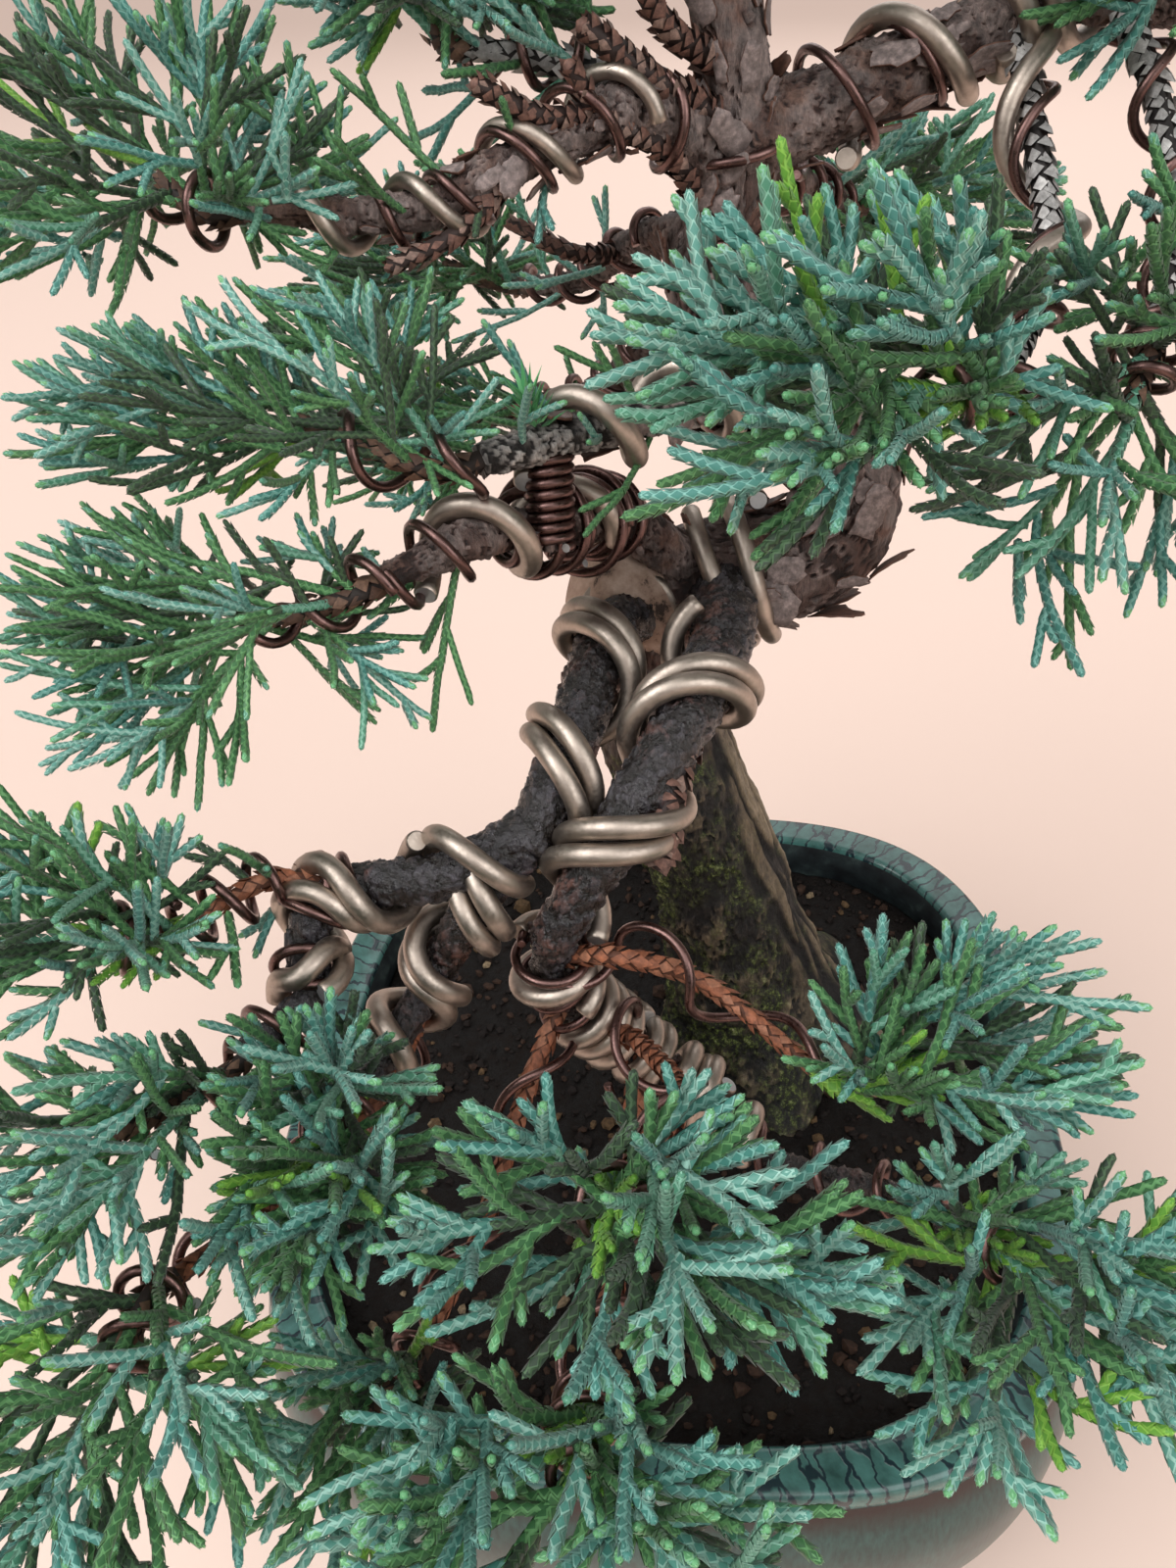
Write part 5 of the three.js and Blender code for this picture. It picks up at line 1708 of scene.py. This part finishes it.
def make_needle_tuft():
    """The tuft of young needles that stands on the high left bough."""
    rng = np.random.default_rng(5)
    middle, along = LIMBS["bough_left_high"].spot(0.86)[:2]
    rise = unit(UP + along * 0.25)
    batch = Batch()
    for i in range(NEEDLE_COUNT):
        share = i / NEEDLE_COUNT
        base = middle + rise * (1.4 + 3.2 * share)
        bearing = i * GOLDEN_ANGLE
        out = np.array([math.cos(bearing), math.sin(bearing), 0])
        aim = unit(rise * (0.5 + 0.7 * share) + out * rng.uniform(0.5, 0.9))
        wide = unit(np.cross(aim, rise)) * 0.3
        deep = unit(np.cross(aim, wide)) * 0.25
        belly = base + aim * 1.2
        tip = base + aim * rng.uniform(2.4, 3.8)
        batch.add([base, belly + wide, belly - wide, belly + deep, tip],
                  [(np.array([(0, 1, 3), (0, 3, 2), (0, 2, 1), (4, 3, 1), (4, 2, 3), (4, 1, 2)]),
                    i % 2)])
    needles = [leaf_scale("young_needle", "3F8A52"), leaf_scale("young_needle_tip", "66AE74")]
    batch.piece("needle_tuft", needles, "foliage", smooth=False)


# Stage
CAMERA_PLACE = (3.0, -112.0, 187.0)
CAMERA_AZIMUTH = math.radians(6.1)
CAMERA_PITCH = math.radians(38)
CAMERA_ROLL = math.radians(3)
LENS = 29.25
FLOOR_WIDTH = 12.0
# Soft white lights: name, place, width and power in watts. They face the tree's middle.
LIGHTS = [
    ("window_left", (-650, -450, 900), 700, 6.5),
    ("soft_front_right", (700, -700, 650), 900, 7.0),
    ("soft_back", (150, 900, 700), 900, 3.0),
]
LIGHT_TARGET = (0, 0, 110)
# Broad light from above, as through a sheet of diffuser, and the light of the room
SHEET_POWER = 1.4
SHEET_SPREAD = math.radians(70)
SHEET_TILT = (math.radians(28), math.radians(-22), 0)
ROOM_POWER = 0.42


def make_stage(colours):
    """A plain pale floor, soft light, and the camera at the photograph's angle."""
    scene = bpy.context.scene
    bpy.ops.mesh.primitive_plane_add(size=FLOOR_WIDTH)
    floor = bpy.context.object
    floor.name = "studio_floor"
    # Uncoated paper: matt and even in itself; its tones, so wide that they read as the light's
    # own, are painted light and shade
    floor.data.materials.append(mottled_material(
        "matt_paper_floor", (900, 1, 0.5),
        [(0.3, shade(colours.floor, 0.94)), (0.7, colours.floor)], {"Roughness": 0.9}))

    target = Vector(LIGHT_TARGET) * MM
    for name, place, size, power in LIGHTS:
        light = bpy.data.lights.new(name, "AREA")
        light.size = size * MM
        light.energy = power
        lamp = bpy.data.objects.new(name, light)
        lamp.location = Vector(place) * MM
        lamp.rotation_euler = (target - lamp.location).to_track_quat("-Z", "Y").to_euler()
        scene.collection.objects.link(lamp)

    sheet = bpy.data.lights.new("diffuser_sheet", "SUN")
    sheet.energy = SHEET_POWER
    sheet.angle = SHEET_SPREAD
    lamp = bpy.data.objects.new("diffuser_sheet", sheet)
    lamp.rotation_euler = SHEET_TILT
    scene.collection.objects.link(lamp)

    world = bpy.data.worlds.new("studio_air")
    world.use_nodes = True
    world.node_tree.nodes.clear()
    air = add_node(world.node_tree, "ShaderNodeBackground",
                   {"Color": linear("F8EDE8"), "Strength": ROOM_POWER})
    add_node(world.node_tree, "ShaderNodeOutputWorld", {"Surface": air.outputs[0]})
    scene.world = world
    scene.view_settings.view_transform = "Standard"

    ahead = Vector((-math.sin(CAMERA_AZIMUTH) * math.cos(CAMERA_PITCH),
                    math.cos(CAMERA_AZIMUTH) * math.cos(CAMERA_PITCH),
                    -math.sin(CAMERA_PITCH)))
    right = Vector((math.cos(CAMERA_AZIMUTH), math.sin(CAMERA_AZIMUTH), 0))
    upward = right.cross(ahead)
    right, upward = (right * math.cos(CAMERA_ROLL) - upward * math.sin(CAMERA_ROLL),
                     right * math.sin(CAMERA_ROLL) + upward * math.cos(CAMERA_ROLL))
    view = bpy.data.cameras.new("photo_view")
    view.lens = LENS
    view.clip_start = 0.005
    camera = bpy.data.objects.new("photo_view", view)
    turn = Matrix((right, upward, -ahead)).transposed().to_4x4()
    camera.matrix_world = Matrix.Translation(Vector(CAMERA_PLACE) * MM) @ turn
    scene.collection.objects.link(camera)
    scene.camera = camera


# One operator for each group of pieces
class StageOperator(bpy.types.Operator):
    """Lay the floor, hang the lights and place the camera"""

    bl_idname = "bonsai.stage"
    bl_label = "Stage"

    def execute(self, context):
        make_stage(context.scene.bonsai_colours)
        return {"FINISHED"}


class PotOperator(bpy.types.Operator):
    """Make the glazed pot"""

    bl_idname = "bonsai.pot"
    bl_label = "Pot"

    def execute(self, context):
        make_pot(context.scene.bonsai_colours)
        return {"FINISHED"}


class SoilOperator(bpy.types.Operator):
    """Fill the pot with soil and strew its grains"""

    bl_idname = "bonsai.soil"
    bl_label = "Soil"

    def execute(self, context):
        make_soil(context.scene.bonsai_sizes, context.scene.bonsai_colours)
        return {"FINISHED"}


class TrunkOperator(bpy.types.Operator):
    """Cover the trunk with bark and make its healed cut"""

    bl_idname = "bonsai.trunk"
    bl_label = "Trunk"

    def execute(self, context):
        make_trunk(context.scene.bonsai_sizes, context.scene.bonsai_colours)
        return {"FINISHED"}


class BoughsOperator(bpy.types.Operator):
    """Cover the boughs and twigs with their bark"""

    bl_idname = "bonsai.boughs"
    bl_label = "Boughs"

    def execute(self, context):
        make_boughs(context.scene.bonsai_sizes, context.scene.bonsai_colours)
        return {"FINISHED"}


class FlakesOperator(bpy.types.Operator):
    """Add the loose, curling plates of bark"""

    bl_idname = "bonsai.flakes"
    bl_label = "Bark flakes"

    def execute(self, context):
        make_flakes(context.scene.bonsai_colours)
        return {"FINISHED"}


class WiresOperator(bpy.types.Operator):
    """Wind the training wires and the thin wires"""

    bl_idname = "bonsai.wires"
    bl_label = "Wires"

    def execute(self, context):
        make_wires(context.scene.bonsai_sizes, context.scene.bonsai_colours)
        return {"FINISHED"}


class ShootsOperator(bpy.types.Operator):
    """Grow the leafy shoots of every foliage mass"""

    bl_idname = "bonsai.shoots"
    bl_label = "Shoots"

    def execute(self, context):
        make_shoots(context.scene.bonsai_sizes)
        make_needle_tuft()
        return {"FINISHED"}


OPERATORS = (StageOperator, PotOperator, SoilOperator, TrunkOperator, BoughsOperator,
             FlakesOperator, WiresOperator, ShootsOperator)


class BonsaiPanel(bpy.types.Panel):
    """The bonsai's sizes, colours and pieces"""

    bl_idname = "BONSAI_PT_pieces"
    bl_label = "Juniper Bonsai"
    bl_space_type = "VIEW_3D"
    bl_region_type = "UI"
    bl_category = "Bonsai"

    def draw(self, context):
        for group in (context.scene.bonsai_sizes, context.scene.bonsai_colours):
            for name in group.__annotations__:
                self.layout.prop(group, name)
        for operator in OPERATORS:
            self.layout.operator(operator.bl_idname)


CLASSES = (BonsaiSizes, BonsaiColours, *OPERATORS, BonsaiPanel)


def register():
    """Registers the classes and hangs the settings on the scene."""
    for item in CLASSES:
        bpy.utils.register_class(item)
    bpy.types.Scene.bonsai_sizes = PointerProperty(type=BonsaiSizes)
    bpy.types.Scene.bonsai_colours = PointerProperty(type=BonsaiColours)


def unregister():
    """Takes the settings and the classes away again."""
    del bpy.types.Scene.bonsai_sizes
    del bpy.types.Scene.bonsai_colours
    for item in reversed(CLASSES):
        bpy.utils.unregister_class(item)


def main():
    """Makes every piece in order."""
    register()
    for operator in OPERATORS:
        group, name = operator.bl_idname.split(".")
        getattr(getattr(bpy.ops, group), name)()


if __name__ == "__main__":
    main()
